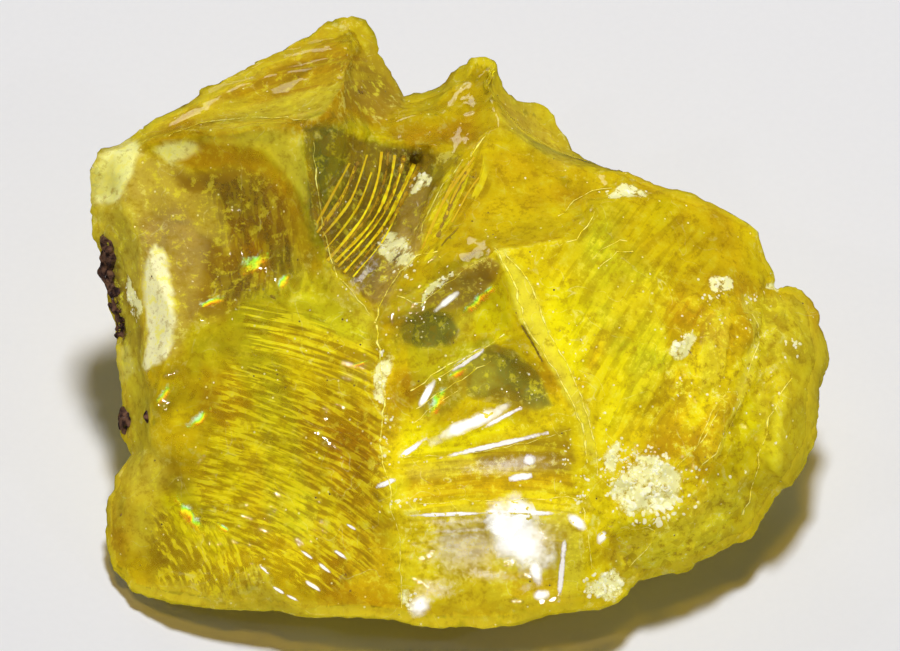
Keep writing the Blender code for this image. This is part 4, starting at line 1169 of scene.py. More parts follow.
def note_backing(stone, heart, clear_depth):
    """Notes on the stone's skin where it is far off the heart, and where no heart lies behind it at all."""
    gaps = np.array([heart.closest_point_on_mesh(vert.co)[1] - vert.co for vert in stone.data.vertices])
    gap = np.linalg.norm(gaps, axis=1) / MM
    inward = TO_LAYOUT.inverted() @ Vector((0.0, 0.0, -1.0))
    backed = np.array([heart.ray_cast(vert.co, inward)[0] for vert in stone.data.vertices])
    thin = np.where(backed, smooth((gap - clear_depth) / clear_depth), 1.0)
    attribute_of(stone, "thin", thin * EDGE_CLOUDING)
    attribute_of(stone, "border", np.where(backed, 0.0, 1.0))


class StoneShape(bpy.types.PropertyGroup):
    """How the stone's skin is broken"""

    ridge_angle: FloatProperty(
        name="Ridge Angle",
        description="Edges that bend more than this are ridges",
        default=math.radians(17),
        subtype="ANGLE",
    )
    ridge_crease: FloatProperty(
        name="Ridge Crease", description="How sharp the ridges stay", default=0.72, min=0.0, max=1.0
    )
    swell: FloatProperty(name="Swell", description="Height of the slow waves, in millimetres", default=0.35)
    chips: FloatProperty(name="Chips", description="Depth of the ridges' chips, in millimetres", default=0.30)
    rubble: FloatProperty(name="Rubble", description="Height of the rough faces' lumps, in mm", default=0.75)
    heart_width: FloatProperty(
        name="Heart Width", description="Its share of the stone's width", default=0.985
    )
    heart_thickness: FloatProperty(
        name="Heart Thickness", description="Its share of the stone's thickness", default=0.78
    )
    heart_cover: FloatProperty(
        name="Heart Cover", description="Least clear skin over it, in mm", default=0.25
    )
    clear_depth: FloatProperty(
        name="Clear Depth", description="Skin further than this off the heart is clouded, in mm", default=1.2
    )
    heart_lumps: FloatProperty(name="Heart Lumps", description="Height of its lumps, in mm", default=2.0)
    heart_facets: FloatProperty(name="Heart Facets", description="Height of its facets, in mm", default=1.2)


class SulfurFinish(bpy.types.PropertyGroup):
    """The colours and clearness of sulfur"""

    ior: FloatProperty(name="IOR", description="How strongly sulfur bends light", default=2.0)
    clouded_ior: FloatProperty(name="Clouded IOR", description="The same where it is clouded", default=1.45)
    depth_colour: FloatVectorProperty(
        name="Depth Colour",
        description="What light keeps on its way through",
        subtype="COLOR",
        default=(0.994, 0.986, 0.0),
    )
    depth_density: FloatProperty(
        name="Depth Density", description="How soon light takes the depth colour, to the metre", default=600.0
    )


class StudioSetup(bpy.types.PropertyGroup):
    """The plain studio round the stone"""

    floor_colour: FloatVectorProperty(
        name="Floor Colour", description="Pale grey card", subtype="COLOR", default=(0.91, 0.91, 0.93)
    )
    camera_distance: FloatProperty(
        name="Camera Distance", description="From the stone's middle", default=0.8, unit="LENGTH"
    )
    view_width: FloatProperty(
        name="View Width", description="Width of the view at the stone", default=0.061, unit="LENGTH"
    )


class SULFUR_OT_stone(bpy.types.Operator):
    """Model the stone's skin over its coarse solid"""

    bl_idname = "sulfur.stone"
    bl_label = "Stone"

    def execute(self, context):
        shape = context.scene.stone_shape
        stone = copy_of("sulfur_crystal", "sulfur_stone")
        crease_ridges(stone, shape)
        modify(stone, "SUBSURF", levels=2, render_levels=2)
        refine(stone, lambda side: np.maximum(rippled(side, FINE_RIPPLES), side.within_ellipses(ROUGH)))
        refine(stone, lambda side: side.within_outline(WINDOWS, WINDOW_EDGE))
        places, normals = places_of(stone)
        side = DisplaySide(places, normals)
        lifted = np.clip((places[:, 2] - FOOT_HEIGHT) / FOOT_HEIGHT, 0.0, 1.0)
        free = group_of(stone, "free", lifted)
        rough = group_of(stone, "rough", side.within_ellipses(ROUGH) * lifted)
        displace(stone, lumps(SWELL_SIZE), shape.swell, group=free)
        displace(stone, cells(RUBBLE_SIZE), shape.rubble, group=rough)
        displace(stone, lumps(GRIT_SIZE, depth=3), shape.rubble * GRIT_SHARE, group=rough)
        for number, (centre, softness, outline, period, length, height, _) in enumerate(RIPPLES.values()):
            steps = side.ripple_steps(number, centre, period, length)
            waves = crested(np.array([noise.noise(step) for step in steps]))
            press(stone, waves * side.within_outline(outline, softness) * lifted, height)
        for waves, share, height in side.rear_ripples():
            press(stone, waves * share * lifted, height)
        for outline, softness, height in STEPS:
            press(stone, side.within_outline(outline, softness) * lifted, height)
        displace(stone, lumps(CHIP_SIZE, depth=3), shape.chips, group="ridges", middle=CHIP_LEVEL)
        ridge = weights_of(stone, "ridges")
        stone.vertex_groups.clear()
        steep = smooth(1.0 - np.abs(normals @ np.array(TO_LAYOUT)[2]) / RIM_SLOPE)
        attribute_of(stone, "tone", tones_at(side, drift(places, DRIFT_SIZE)))
        attribute_of(stone, "bruise", side.within_ellipses(BRUISES))
        attribute_of(stone, "rough", side.within_ellipses(ROUGH))
        attribute_of(stone, "rim", steep * (1.0 - side.within_outline(FIELD, RIM_EDGE)) * EDGE_CLOUDING)
        attribute_of(stone, "ridge", ridge)
        lay_striae(stone, side)
        only(stone)
        bpy.ops.object.shade_smooth()
        stone.data.materials.append(clear_sulfur(context.scene.sulfur_finish))
        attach(stone, "root")
        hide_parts("sulfur_crystal")
        return {"FINISHED"}


class SULFUR_OT_heart(bpy.types.Operator):
    """Model the clouded heart sealed in the stone"""

    bl_idname = "sulfur.heart"
    bl_label = "Clouded Heart"

    def execute(self, context):
        shape = context.scene.stone_shape
        heart = copy_of("sulfur_crystal", "clouded_heart")
        crease_ridges(heart, shape)
        heart.vertex_groups.clear()
        modify(heart, "SUBSURF", levels=2, render_levels=2)
        modify(heart, "SMOOTH", factor=0.5, iterations=3)
        shrink(heart, shape.heart_width, shape.heart_thickness)
        places, normals = places_of(heart)
        broad = np.abs(normals @ np.array(TO_LAYOUT)[2])
        deep = group_of(heart, "deep", smooth((broad - BROAD_FROM) / BROAD_OVER))
        displace(heart, lumps(HEART_LUMP_SIZE), shape.heart_lumps, group=deep, middle=HEART_LEVEL)
        displace(heart, cells(HEART_FACET_SIZE), shape.heart_facets, group=deep)
        stone = bpy.data.objects["sulfur_stone"]
        modify(heart, "SHRINKWRAP", target=stone, wrap_mode="INSIDE", offset=shape.heart_cover * MM)
        places, normals = places_of(heart)
        attribute_of(heart, "tone", tones_at(DisplaySide(places, normals), drift(places, DRIFT_SIZE)))
        only(heart)
        bpy.ops.object.shade_smooth_by_angle(angle=HEART_EDGE)
        heart.data.materials.append(clouded_sulfur())
        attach(heart, "root")
        note_backing(stone, heart, shape.clear_depth)
        return {"FINISHED"}


class SULFUR_OT_strips(bpy.types.Operator):
    """Lay wisps, painted rainbow glints, sheen and highlights, cracks that paint highlights, lines and the
    ribs' painted shade on the skin
    """

    bl_idname = "sulfur.strips"
    bl_label = "Wisps, Veils and Lines"

    def execute(self, context):
        stone = bpy.data.objects["sulfur_stone"]
        for name, (sink, material, strips) in STRIPS.items():
            laid = laid_strips(stone, name, strips, sink=sink)
            laid.data.materials.append(MAKERS[material]())
        for name, (material, jaggedness, lines) in LINES.items():
            legs = [leg for width, points in lines for leg in legs_of(width, points, jaggedness)]
            laid = laid_strips(stone, name, legs, thickness=LINE_THICKNESS)
            laid.data.materials.append(MAKERS[material]())
        return {"FINISHED"}


class SULFUR_OT_crumbs(bpy.types.Operator):
    """Set the crumbs of matrix and the crushed flakes on the stone's skin"""

    bl_idname = "sulfur.crumbs"
    bl_label = "Crumbs and Flakes"

    def execute(self, context):
        stone = bpy.data.objects["sulfur_stone"]
        for name, (material, fineness, flatness, lumpiness, clusters) in LOOSE.items():
            chance = random.Random(name)
            pieces = []
            for cluster in clusters:
                pieces += cluster_on(stone, chance, fineness, flatness, *cluster)
            crumbs = joined(pieces, name)
            bpy.ops.object.transform_apply(location=True, rotation=True, scale=True)
            displace(crumbs, cells(CRUMB_CELL), lumpiness)
            bpy.ops.object.shade_smooth_by_angle(angle=CRUMB_EDGE)
            crumbs.data.materials.append(MAKERS[material]())
            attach(crumbs, "root")
        return {"FINISHED"}


class SULFUR_OT_studio(bpy.types.Operator):
    """Lay the floor, and set the lights and the camera"""

    bl_idname = "sulfur.studio"
    bl_label = "Studio"

    def execute(self, context):
        setup = context.scene.studio_setup
        bpy.ops.mesh.primitive_plane_add(size=FLOOR_SIZE, location=(0.0, 0.0, FLOOR_HEIGHT))
        floor = context.object
        floor.name = "floor"
        bpy.ops.object.transform_apply(location=True)
        floor.data.materials.append(pale_card(setup))
        floor.visible_glossy = False
        light_world(context.scene)
        lit = bpy.data.collections.new("stone_only")
        for name in ("sulfur_stone", "clouded_heart", *STRIPS, *LINES, *LOOSE):
            lit.objects.link(bpy.data.objects[name])
        for name, (azimuth, height, distance, size, power, colour) in LAMPS.items():
            hang_lamp(name, azimuth, height, distance, size, power, colour)
        place_camera(context.scene, setup)
        context.scene.view_settings.view_transform = "Standard"
        context.scene.cycles.max_bounces = LIGHT_BOUNCES
        context.scene.cycles.caustics_refractive = False
        context.scene.cycles.caustics_reflective = False
        return {"FINISHED"}


def aim(thing, target):
    """Points a lamp or camera at a place."""
    thing.rotation_euler = (target - thing.location).to_track_quat("-Z", "Y").to_euler()


def from_stone(azimuth, height, distance):
    """A place at this distance from the stone's middle, by compass angle and height angle in degrees."""
    turn, lift = math.radians(azimuth), math.radians(height)
    towards = Vector((math.sin(turn) * math.cos(lift), -math.cos(turn) * math.cos(lift), math.sin(lift)))
    return VIEW_TARGET + towards * distance


def hang_lamp(name, azimuth, height, distance, size, power, colour):
    """A square soft lamp that looks at the stone."""
    data = bpy.data.lights.new(name, "AREA")
    data.shape = "SQUARE"
    data.size = size
    data.energy = power
    data.color = colour
    lamp = bpy.data.objects.new(name, data)
    bpy.context.scene.collection.objects.link(lamp)
    lamp.location = from_stone(azimuth, height, distance)
    lamp.visible_camera = False
    lamp.visible_glossy = name not in SOFT_LAMPS
    lamp.visible_transmission = name not in SOFT_LAMPS
    if name in SEEPING_LAMPS:
        lamp.light_linking.receiver_collection = bpy.data.collections["stone_only"]
    aim(lamp, VIEW_TARGET)


def place_camera(scene, setup):
    """A long lens that looks down on the display side."""
    data = bpy.data.cameras.new("camera")
    camera = bpy.data.objects.new("camera", data)
    scene.collection.objects.link(camera)
    camera.location = from_stone(0.0, math.degrees(SIGHT_DROP), setup.camera_distance)
    aim(camera, VIEW_TARGET)
    data.sensor_width = SENSOR_WIDTH
    data.lens = data.sensor_width * setup.camera_distance / setup.view_width
    data.clip_start = 0.01
    scene.camera = camera


def node(tree, kind, inputs=None, **settings):
    """Adds a shader node. Its inputs are given by name or number, as a value or as a socket to link."""
    made = tree.nodes.new(kind)
    for name, value in settings.items():
        setattr(made, name, value)
    for name, value in (inputs or {}).items():
        if isinstance(value, bpy.types.NodeSocket):
            tree.links.new(value, made.inputs[name])
        else:
            made.inputs[name].default_value = value
    return made


def maths(tree, operation, first, second=0.0, third=0.0):
    """The result of a math node."""
    return node(tree, "ShaderNodeMath", {0: first, 1: second, 2: third}, operation=operation).outputs[0]


def blend(tree, share, first, second):
    """Two colours mixed by a share."""
    inputs = {"Factor": share, "A": first, "B": second}
    mixer = tree.nodes.new("ShaderNodeMix")
    mixer.data_type = "RGBA"
    for name, value in inputs.items():
        socket = next(s for s in mixer.inputs if s.name == name and s.enabled)
        if isinstance(value, bpy.types.NodeSocket):
            tree.links.new(value, socket)
        else:
            socket.default_value = value
    return next(s for s in mixer.outputs if s.enabled)


def stepped(tree, value, low, high, start=0.0, end=1.0):
    """A number carried smoothly from one range to another."""
    inputs = {"Value": value, "From Min": low, "From Max": high, "To Min": start, "To Max": end}
    return node(tree, "ShaderNodeMapRange", inputs, interpolation_type="SMOOTHSTEP").outputs[0]


def attribute(tree, name):
    """A number held on the mesh."""
    return node(tree, "ShaderNodeAttribute", attribute_name=name).outputs["Fac"]


def speckle(tree, where, size, detail=2.0, roughness=0.5, distortion=0.0):
    """Noise with lumps of this many millimetres."""
    inputs = {
        "Vector": where,
        "Scale": 1.0 / (size * MM),
        "Detail": detail,
        "Roughness": roughness,
        "Distortion": distortion,
    }
    return node(tree, "ShaderNodeTexNoise", inputs).outputs[0]


def dust_on(tree, grains, lot):
    """A speck of dust in the middle of some grains, which also stands for a tiny painted glint, and which of
    the specks are soot.
    """
    chosen = stepped(tree, lot.outputs[0], 0.42, 0.44)
    dust_and_glints = maths(tree, "MULTIPLY", stepped(tree, grains.outputs["Distance"], 0.12, 0.07), chosen)
    sooty = maths(tree, "MULTIPLY", dust_and_glints, stepped(tree, lot.outputs[1], 0.82, 0.84))
    return dust_and_glints, sooty


def healed_cracks(tree, where, mottle):
    """Faint feathery lines, broken off here and there."""
    feather = speckle(tree, where, CRACK_SIZE, detail=1.5, distortion=0.6)
    feather = maths(tree, "ABSOLUTE", maths(tree, "SUBTRACT", feather, 0.5))
    broken = stepped(tree, mottle, 0.42, 0.60, 0.0, 0.35)
    return maths(tree, "MULTIPLY", stepped(tree, feather, 0.006, 0.001), broken)


def white_marks(tree, where, mottle, rough, dust_and_glints):
    """How white the skin is: with bruises, chipped ridges, healed cracks, and white specks and dust that are
    partly painted glints.
    """
    bruise = stepped(tree, maths(tree, "MULTIPLY_ADD", mottle, 2.6, attribute(tree, "bruise")), 1.85, 2.3)
    ridge = stepped(tree, maths(tree, "MULTIPLY_ADD", mottle, 1.0, attribute(tree, "ridge")), 1.54, 1.62)
    # Painted glints: white flecks, most of them on the rough faces.
    glint_flecks = maths(tree, "MULTIPLY", stepped(tree, mottle, 0.62, 0.68), maths(tree, "ADD", rough, 0.15))
    white = maths(tree, "MAXIMUM", bruise, maths(tree, "MULTIPLY", ridge, 0.25))
    white = maths(tree, "MAXIMUM", white, maths(tree, "MULTIPLY", glint_flecks, 0.7))
    # White dust specks, which also stand for tiny painted glints.
    white = maths(tree, "MAXIMUM", white, maths(tree, "MULTIPLY", dust_and_glints, 0.8))
    return maths(tree, "MAXIMUM", white, healed_cracks(tree, where, mottle))


def ripple_lines(tree):
    """The dark and the bright lines of the ripples."""
    steps = node(tree, "ShaderNodeAttribute", attribute_name="striae_steps").outputs["Vector"]
    inputs = {"Vector": steps, "Scale": 1.0, "Detail": 2.0, "Roughness": 0.5}
    streak = node(tree, "ShaderNodeTexNoise", inputs).outputs[0]
    share = attribute(tree, "striae_share")
    dark_line = maths(tree, "MULTIPLY", stepped(tree, streak, 0.50, 0.42), share)
    bright_line = maths(tree, "MULTIPLY", stepped(tree, streak, 0.52, 0.57), share)
    return dark_line, bright_line


def skin_tone(tree, tone, mottle, rough, lot, dark_line, bright_line):
    """The painted tone, with the ripples' lines, its mottling and its darker border laid over it."""
    mottled = maths(tree, "MULTIPLY_ADD", rough, 0.20, 0.60)
    darker = maths(tree, "MULTIPLY", stepped(tree, mottle, 0.50, 0.34), mottled)
    lighter = maths(tree, "MULTIPLY", stepped(tree, mottle, 0.52, 0.62), mottled)
    graining = maths(tree, "MULTIPLY_ADD", rough, 0.35, 0.10)
    grainy = maths(tree, "MULTIPLY", stepped(tree, lot.outputs[2], 0.55, 1.0), graining)
    own = blend(tree, maths(tree, "MULTIPLY", dark_line, 0.65), tone, DARK_STREAK)
    brightness = node(tree, "ShaderNodeSeparateColor", {"Color": tone}).outputs[0]
    brightness = maths(tree, "MULTIPLY_ADD", brightness, 1.1, 0.05)
    own = blend(tree, maths(tree, "MULTIPLY", bright_line, brightness), own, BRIGHT_STREAK)
    own = blend(tree, maths(tree, "MAXIMUM", darker, grainy), own, DARK_MOTTLE)
    own = blend(tree, lighter, own, BRIGHT_MOTTLE)
    return blend(tree, maths(tree, "MULTIPLY", attribute(tree, "border"), 0.55), own, BORDER_TONE)


def tipped_normal(tree, grains, rough):
    """The skin's own normal, tipped a little this way or that on each grain."""
    tilt = node(
        tree, "ShaderNodeVectorMath", {0: grains.outputs["Color"], 1: (0.5, 0.5, 0.5)}, operation="SUBTRACT"
    ).outputs[0]
    amount = maths(tree, "MULTIPLY_ADD", rough, 0.55, 0.06)
    tilt = node(tree, "ShaderNodeVectorMath", {0: tilt, "Scale": amount}, operation="SCALE").outputs[0]
    facing = node(tree, "ShaderNodeNewGeometry").outputs["Normal"]
    facing = node(tree, "ShaderNodeVectorMath", {0: facing, 1: tilt}, operation="ADD").outputs[0]
    return node(tree, "ShaderNodeVectorMath", {0: facing}, operation="NORMALIZE").outputs[0]


def shaded(tree, shader, shade):
    """A shader that lamps shine through with this shade, so the stone's shadow isn't black."""
    lamp_ray = node(tree, "ShaderNodeLightPath").outputs["Is Shadow Ray"]
    passed = node(tree, "ShaderNodeBsdfTransparent", {"Color": shade}).outputs[0]
    return node(tree, "ShaderNodeMixShader", {0: lamp_ray, 1: shader, 2: passed}).outputs[0]


def clear_sulfur(finish):
    """Clear to clouded lemon-yellow sulfur, rippled, with white bruises."""
    material = bpy.data.materials.new("clear_sulfur")
    material.use_nodes = True
    tree = material.node_tree
    tree.nodes.clear()
    where = node(tree, "ShaderNodeTexCoord").outputs["Object"]
    tone = node(tree, "ShaderNodeAttribute", attribute_name="tone")
    mottle = speckle(tree, where, MOTTLE_SIZE, detail=5.0, roughness=0.75)
    rough = attribute(tree, "rough")
    grains = node(tree, "ShaderNodeTexVoronoi", {"Vector": where, "Scale": 1.0 / (GRAIN_SIZE * MM)})
    lot = node(tree, "ShaderNodeSeparateColor", {"Color": grains.outputs["Color"]})
    dust_and_glints, sooty = dust_on(tree, grains, lot)
    white = white_marks(tree, where, mottle, rough, dust_and_glints)
    dark_line, bright_line = ripple_lines(tree)
    own = skin_tone(tree, tone.outputs["Color"], mottle, rough, lot, dark_line, bright_line)
    cloud_tone = blend(tree, sooty, blend(tree, white, own, WHITE_TONE), SOOT_TONE)
    clear_tone = node(tree, "ShaderNodeGamma", {"Color": own, "Gamma": 0.35}).outputs[0]
    facet = tipped_normal(tree, grains, rough)
    roughness = maths(tree, "MULTIPLY_ADD", rough, 0.12, 0.04)
    clear = node(
        tree,
        "ShaderNodeBsdfPrincipled",
        {
            "Base Color": clear_tone,
            "Roughness": roughness,
            "Normal": facet,
            "IOR": finish.ior,
            "Transmission Weight": 1.0,
        },
    ).outputs[0]
    clouded = node(
        tree,
        "ShaderNodeBsdfPrincipled",
        {
            "Base Color": cloud_tone,
            "Roughness": roughness,
            "Normal": facet,
            "IOR": finish.clouded_ior,
            "Transmission Weight": 0.15,
            "Subsurface Weight": 0.35,
            "Subsurface Radius": (1.0, 0.95, 0.05),
            "Specular IOR Level": 0.12,
            "Subsurface Scale": 0.0012,
        },
    ).outputs[0]
    clouding = maths(tree, "MAXIMUM", tone.outputs["Alpha"], maths(tree, "MULTIPLY", bright_line, 0.8))
    clouding = maths(tree, "MAXIMUM", clouding, white)
    clouding = maths(tree, "MAXIMUM", clouding, maths(tree, "MULTIPLY", rough, 0.8))
    clouding = maths(tree, "MAXIMUM", clouding, attribute(tree, "rim"))
    clouding = maths(tree, "MAXIMUM", clouding, attribute(tree, "thin"))
    skin = node(tree, "ShaderNodeMixShader", {0: clouding, 1: clear, 2: clouded}).outputs[0]
    depth_inputs = {"Color": (*finish.depth_colour, 1), "Density": finish.depth_density}
    depth = node(tree, "ShaderNodeVolumeAbsorption", depth_inputs).outputs[0]
    surface = shaded(tree, skin, SKIN_SHADE)
    node(tree, "ShaderNodeOutputMaterial", {"Surface": surface, "Volume": depth})
    return material


def clouded_sulfur():
    """Clouded sulfur in crooked plates, which fills the stone's middle."""
    material = bpy.data.materials.new("clouded_sulfur")
    material.use_nodes = True
    tree = material.node_tree
    shader = tree.nodes["Principled BSDF"]
    where = node(tree, "ShaderNodeTexCoord").outputs["Object"]
    tone = node(tree, "ShaderNodeAttribute", attribute_name="tone").outputs["Color"]
    tone = node(tree, "ShaderNodeGamma", {"Color": tone, "Gamma": 0.75}).outputs[0]
    waver_inputs = {"Vector": where, "Scale": 1.0 / (PLATE_WAVER * MM), "Detail": 3.0}
    waver = node(tree, "ShaderNodeTexNoise", waver_inputs)
    bent = node(
        tree,
        "ShaderNodeVectorMath",
        {0: waver.outputs["Color"], 1: (0.0025, 0.0025, 0.0025)},
        operation="MULTIPLY",
    ).outputs[0]
    bent = node(tree, "ShaderNodeVectorMath", {0: where, 1: bent}, operation="ADD").outputs[0]
    plates = node(tree, "ShaderNodeTexVoronoi", {"Vector": bent, "Scale": 1.0 / (PLATE_SIZE * MM)})
    lot = node(tree, "ShaderNodeSeparateColor", {"Color": plates.outputs["Color"]})
    own = blend(tree, stepped(tree, lot.outputs[0], 0.3, 0.9, 0.0, 0.6), tone, DARK_PLATE)
    own = blend(tree, stepped(tree, lot.outputs[1], 0.5, 1.0, 0.0, 0.6), own, BRIGHT_PLATE)
    tree.links.new(own, shader.inputs["Base Color"])
    shader.inputs["Roughness"].default_value = 0.5
    surface = shaded(tree, shader.outputs[0], HEART_SHADE)
    tree.links.new(surface, tree.nodes["Material Output"].inputs["Surface"])
    return material


def plain_stuff(name, light, dark, roughness, glow=0.0):
    """A material whose colour wanders between a light and a dark tone, and which may have a faint painted
    glow.
    """
    material = bpy.data.materials.new(name)
    material.use_nodes = True
    tree = material.node_tree
    shader = tree.nodes["Principled BSDF"]
    where = node(tree, "ShaderNodeTexCoord").outputs["Object"]
    wander = stepped(tree, speckle(tree, where, 0.5, detail=3.0), 0.35, 0.65)
    tree.links.new(blend(tree, wander, (*dark, 1), (*light, 1)), shader.inputs["Base Color"])
    shader.inputs["Roughness"].default_value = roughness
    shader.inputs["Emission Strength"].default_value = glow
    return material


def fade_out(material, size, low, high, ends=1.0, most=1.0):
    """Lets a strip's material end in rags toward its rim, in lumps of this many millimetres.

    With ends at 0 only its two long sides are ragged. At most it hides this share of what is under it."""
    tree = material.node_tree
    where = node(tree, "ShaderNodeTexCoord")
    centred = node(
        tree, "ShaderNodeVectorMath", {0: where.outputs["UV"], 1: (0.5, 0.5, 0.0)}, operation="SUBTRACT"
    ).outputs[0]
    centred = node(
        tree, "ShaderNodeVectorMath", {0: centred, 1: (ends, 1.0, 0.0)}, operation="MULTIPLY"
    ).outputs[0]
    reach = node(tree, "ShaderNodeVectorMath", {0: centred}, operation="LENGTH").outputs["Value"]
    ragged = speckle(tree, where.outputs["Object"], size, detail=3.0, roughness=0.7)
    kept = stepped(tree, maths(tree, "MULTIPLY_ADD", reach, -1.1, ragged), low, high, 0.0, most)
    through = node(tree, "ShaderNodeBsdfTransparent").outputs[0]
    shader = tree.nodes["Principled BSDF"].outputs[0]
    surface = node(tree, "ShaderNodeMixShader", {0: kept, 1: through, 2: shader}).outputs[0]
    tree.links.new(surface, tree.nodes["Material Output"].inputs["Surface"])
    return material


def wisp_stuff():
    """Brown bituminous wisps, ragged and half clear."""
    wisp = plain_stuff("brown_wisp", (0.26, 0.14, 0.04), (0.10, 0.05, 0.02), 0.6)
    return fade_out(wisp, 0.35, 0.10, 0.45, most=0.8)


def crack_highlight_stuff():
    """Thin cracks painted bright white, which also stand in for highlights on the ribs, the toe and the
    ripples.
    """
    crack_highlight = plain_stuff("crack_highlight_sheet", (1.0, 1.0, 1.0), (1.0, 0.95, 1.0), 0.25)
    return fade_out(crack_highlight, 1.2, -0.10, 0.22)


def gleam_stuff():
    """Painted highlights: soft white patches with a faint glow, where the lamps' highlights would fall."""
    gleam = plain_stuff("white_gleam", (1.0, 1.0, 1.0), (1.0, 1.0, 1.0), 0.25, glow=0.25)
    return fade_out(gleam, 2.4, -0.10, 0.35)


def sheen_stuff():
    """Painted sheen: faint lilac films with a soft glow, standing in for the pale reflection on the toe."""
    film = plain_stuff("painted_sheen_film", (1.0, 0.97, 0.95), (1.0, 0.90, 0.86), 0.2, glow=0.25)
    return fade_out(film, 0.4, 0.0, 0.6, most=0.36)


def rib_stuff():
    """Bright ribs of amber sulfur."""
    material = plain_stuff("bright_rib", (1.0, 0.90, 0.02), (0.82, 0.56, 0.01), 0.12)
    return darker_above(material, (0.55, 0.33, 0.02))


def rib_shade_stuff():
    """Painted shade beside the ribs: darker amber strips that give them depth."""
    material = plain_stuff("amber_rib_shade", (0.62, 0.40, 0.02), (0.40, 0.22, 0.01), 0.2)
    return fade_out(darker_above(material, (0.24, 0.14, 0.04)), 0.8, 0.10, 0.40, ends=0.5, most=0.8)


def darker_above(material, dark):
    """Lets a material darken toward the top of the ribs."""
    tree = material.node_tree
    shader = tree.nodes["Principled BSDF"]
    own = shader.inputs["Base Color"].links[0].from_socket
    where = node(tree, "ShaderNodeTexCoord").outputs["Object"]
    height = node(tree, "ShaderNodeSeparateXYZ", {"Vector": where}).outputs["Z"]
    share = stepped(tree, height, RIB_HEIGHTS[0], RIB_HEIGHTS[1], 0.0, 0.75)
    tree.links.new(blend(tree, share, own, (*dark, 1)), shader.inputs["Base Color"])
    return material


def line_stuff():
    """Pale chipped ridge lines."""
    line = plain_stuff("pale_line", (0.98, 0.94, 0.26), (0.88, 0.74, 0.02), 0.2)
    return fade_out(line, 1.0, 0.14, 0.45, ends=0.0)


def dark_stuff():
    """Dark thin lines along two cracks."""
    dirt = plain_stuff("dark_line", (0.30, 0.20, 0.02), (0.14, 0.09, 0.01), 0.5)
    return fade_out(dirt, 0.3, 0.0, 0.3, ends=0.0)


def matrix_stuff():
    """Purple-brown matrix."""
    return plain_stuff("matrix", (0.16, 0.08, 0.05), (0.02, 0.01, 0.01), 0.25)


def flake_stuff():
    """Crushed white-yellow sulfur, a little see-through, with a faint painted glow."""
    material = plain_stuff("crushed_sulfur", (1.0, 1.0, 0.92), (1.0, 0.99, 0.60), 0.15, glow=0.12)
    tree = material.node_tree
    shader = tree.nodes["Principled BSDF"]
    # The faint glow is painted light, not a lamp.
    shader.inputs["Emission Color"].default_value = (1.0, 1.0, 0.80, 1.0)
    through = node(tree, "ShaderNodeBsdfTransparent").outputs[0]
    surface = node(tree, "ShaderNodeMixShader", {0: 0.6, 1: through, 2: shader.outputs[0]}).outputs[0]
    tree.links.new(surface, tree.nodes["Material Output"].inputs["Surface"])
    return material


def rainbow_glint_stuff():
    """A thin crack's rainbow glint, painted: rainbow colours in bands, with a faint glow."""
    material = plain_stuff("painted_rainbow_glint", (1.0, 1.0, 1.0), (1.0, 1.0, 1.0), 0.3, glow=0.25)
    tree = material.node_tree
    where = node(tree, "ShaderNodeTexCoord")
    across = node(tree, "ShaderNodeSeparateXYZ", {"Vector": where.outputs["UV"]}).outputs["Y"]
    bands = maths(tree, "MULTIPLY_ADD", speckle(tree, where.outputs["Object"], 0.7, detail=1.0), 0.8, across)
    ramp = node(tree, "ShaderNodeValToRGB", {"Fac": stepped(tree, bands, 0.50, 1.30)})
    first, last = ramp.color_ramp.elements
    first.color, last.color = (*RAINBOW_GLINT_ENDS[0], 1.0), (*RAINBOW_GLINT_ENDS[1], 1.0)
    for place, colour in RAINBOW_GLINT_BANDS:
        stop = ramp.color_ramp.elements.new(place)
        stop.color = (*colour, 1.0)
    shader = tree.nodes["Principled BSDF"]
    tree.links.new(ramp.outputs["Color"], shader.inputs["Base Color"])
    tree.links.new(ramp.outputs["Color"], shader.inputs["Emission Color"])
    return fade_out(material, 0.5, 0.05, 0.50, most=0.80)


def pale_card(setup):
    """Matt pale card with a faint tooth."""
    material = bpy.data.materials.new("pale_card")
    material.use_nodes = True
    tree = material.node_tree
    shader = tree.nodes["Principled BSDF"]
    where = node(tree, "ShaderNodeTexCoord").outputs["Object"]
    tooth = speckle(tree, where, 0.5, detail=3.0)
    darker = [0.97 * channel for channel in setup.floor_colour]
    tree.links.new(blend(tree, tooth, (*darker, 1), (*setup.floor_colour, 1)), shader.inputs["Base Color"])
    shader.inputs["Roughness"].default_value = 0.85
    shader.inputs["Specular IOR Level"].default_value = 0.2
    return material


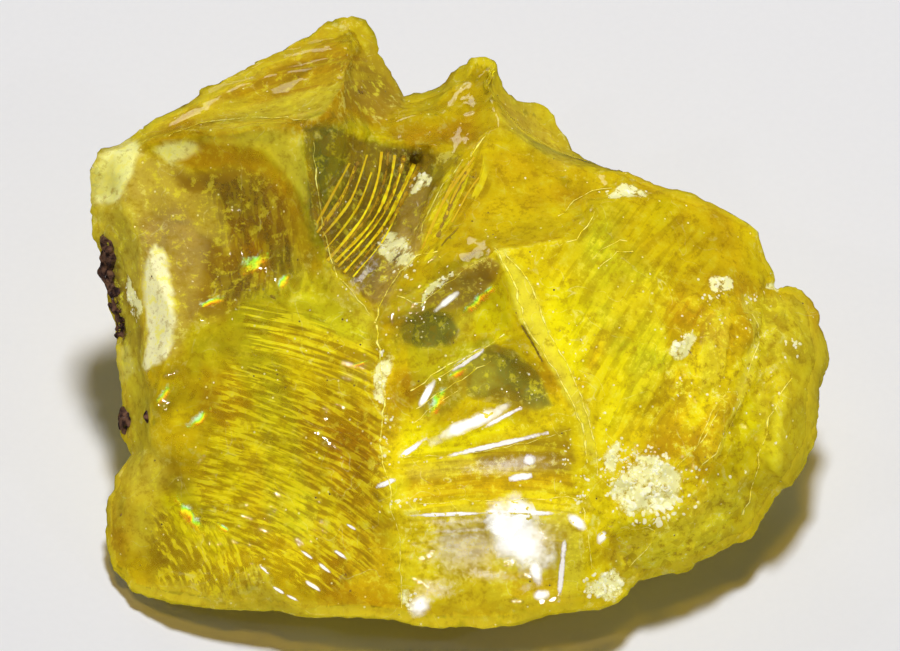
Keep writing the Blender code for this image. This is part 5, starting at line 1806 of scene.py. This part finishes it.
def light_world(scene):
    """A pale room, which lights the stone only faintly."""
    world = bpy.data.worlds.new("room")
    scene.world = world
    world.use_nodes = True
    tree = world.node_tree
    tree.nodes.clear()
    seen = node(tree, "ShaderNodeBackground", {"Color": (0.80, 0.80, 0.81, 1), "Strength": 0.9}).outputs[0]
    felt = node(tree, "ShaderNodeBackground", {"Color": (0.80, 0.82, 0.86, 1), "Strength": 0.04}).outputs[0]
    eye_ray = node(tree, "ShaderNodeLightPath").outputs["Is Camera Ray"]
    mixed = node(tree, "ShaderNodeMixShader", {0: eye_ray, 1: felt, 2: seen}).outputs[0]
    node(tree, "ShaderNodeOutputWorld", {"Surface": mixed})


class SULFUR_PT_panel(bpy.types.Panel):
    """The stone's makers, in the sidebar"""

    bl_idname = "SULFUR_PT_panel"
    bl_label = "Sulfur Stone"
    bl_space_type = "VIEW_3D"
    bl_region_type = "UI"
    bl_category = "Sulfur"

    def draw(self, context):
        for operator in OPERATORS:
            self.layout.operator(operator.bl_idname)
        for group in GROUPS:
            settings = getattr(context.scene, group)
            for name in settings.__annotations__:
                self.layout.prop(settings, name)


MAKERS = {
    "wisp": wisp_stuff,
    "rainbow_paint": rainbow_glint_stuff,
    "crack_highlight": crack_highlight_stuff,
    "gleam": gleam_stuff,
    "sheen": sheen_stuff,
    "rib": rib_stuff,
    "rib_shade": rib_shade_stuff,
    "line": line_stuff,
    "umber": dark_stuff,
    "matrix": matrix_stuff,
    "flake": flake_stuff,
}
GROUPS = {"stone_shape": StoneShape, "sulfur_finish": SulfurFinish, "studio_setup": StudioSetup}
OPERATORS = (SULFUR_OT_stone, SULFUR_OT_heart, SULFUR_OT_strips, SULFUR_OT_crumbs, SULFUR_OT_studio)
CLASSES = (*GROUPS.values(), *OPERATORS, SULFUR_PT_panel)


def register():
    for kind in CLASSES:
        bpy.utils.register_class(kind)
    for name, group in GROUPS.items():
        setattr(bpy.types.Scene, name, PointerProperty(type=group))


def unregister():
    for name in GROUPS:
        delattr(bpy.types.Scene, name)
    for kind in reversed(CLASSES):
        bpy.utils.unregister_class(kind)


def main():
    register()
    bpy.ops.sulfur.stone()
    bpy.ops.sulfur.heart()
    bpy.ops.sulfur.strips()
    bpy.ops.sulfur.crumbs()
    bpy.ops.sulfur.studio()


if __name__ == "__main__":
    main()
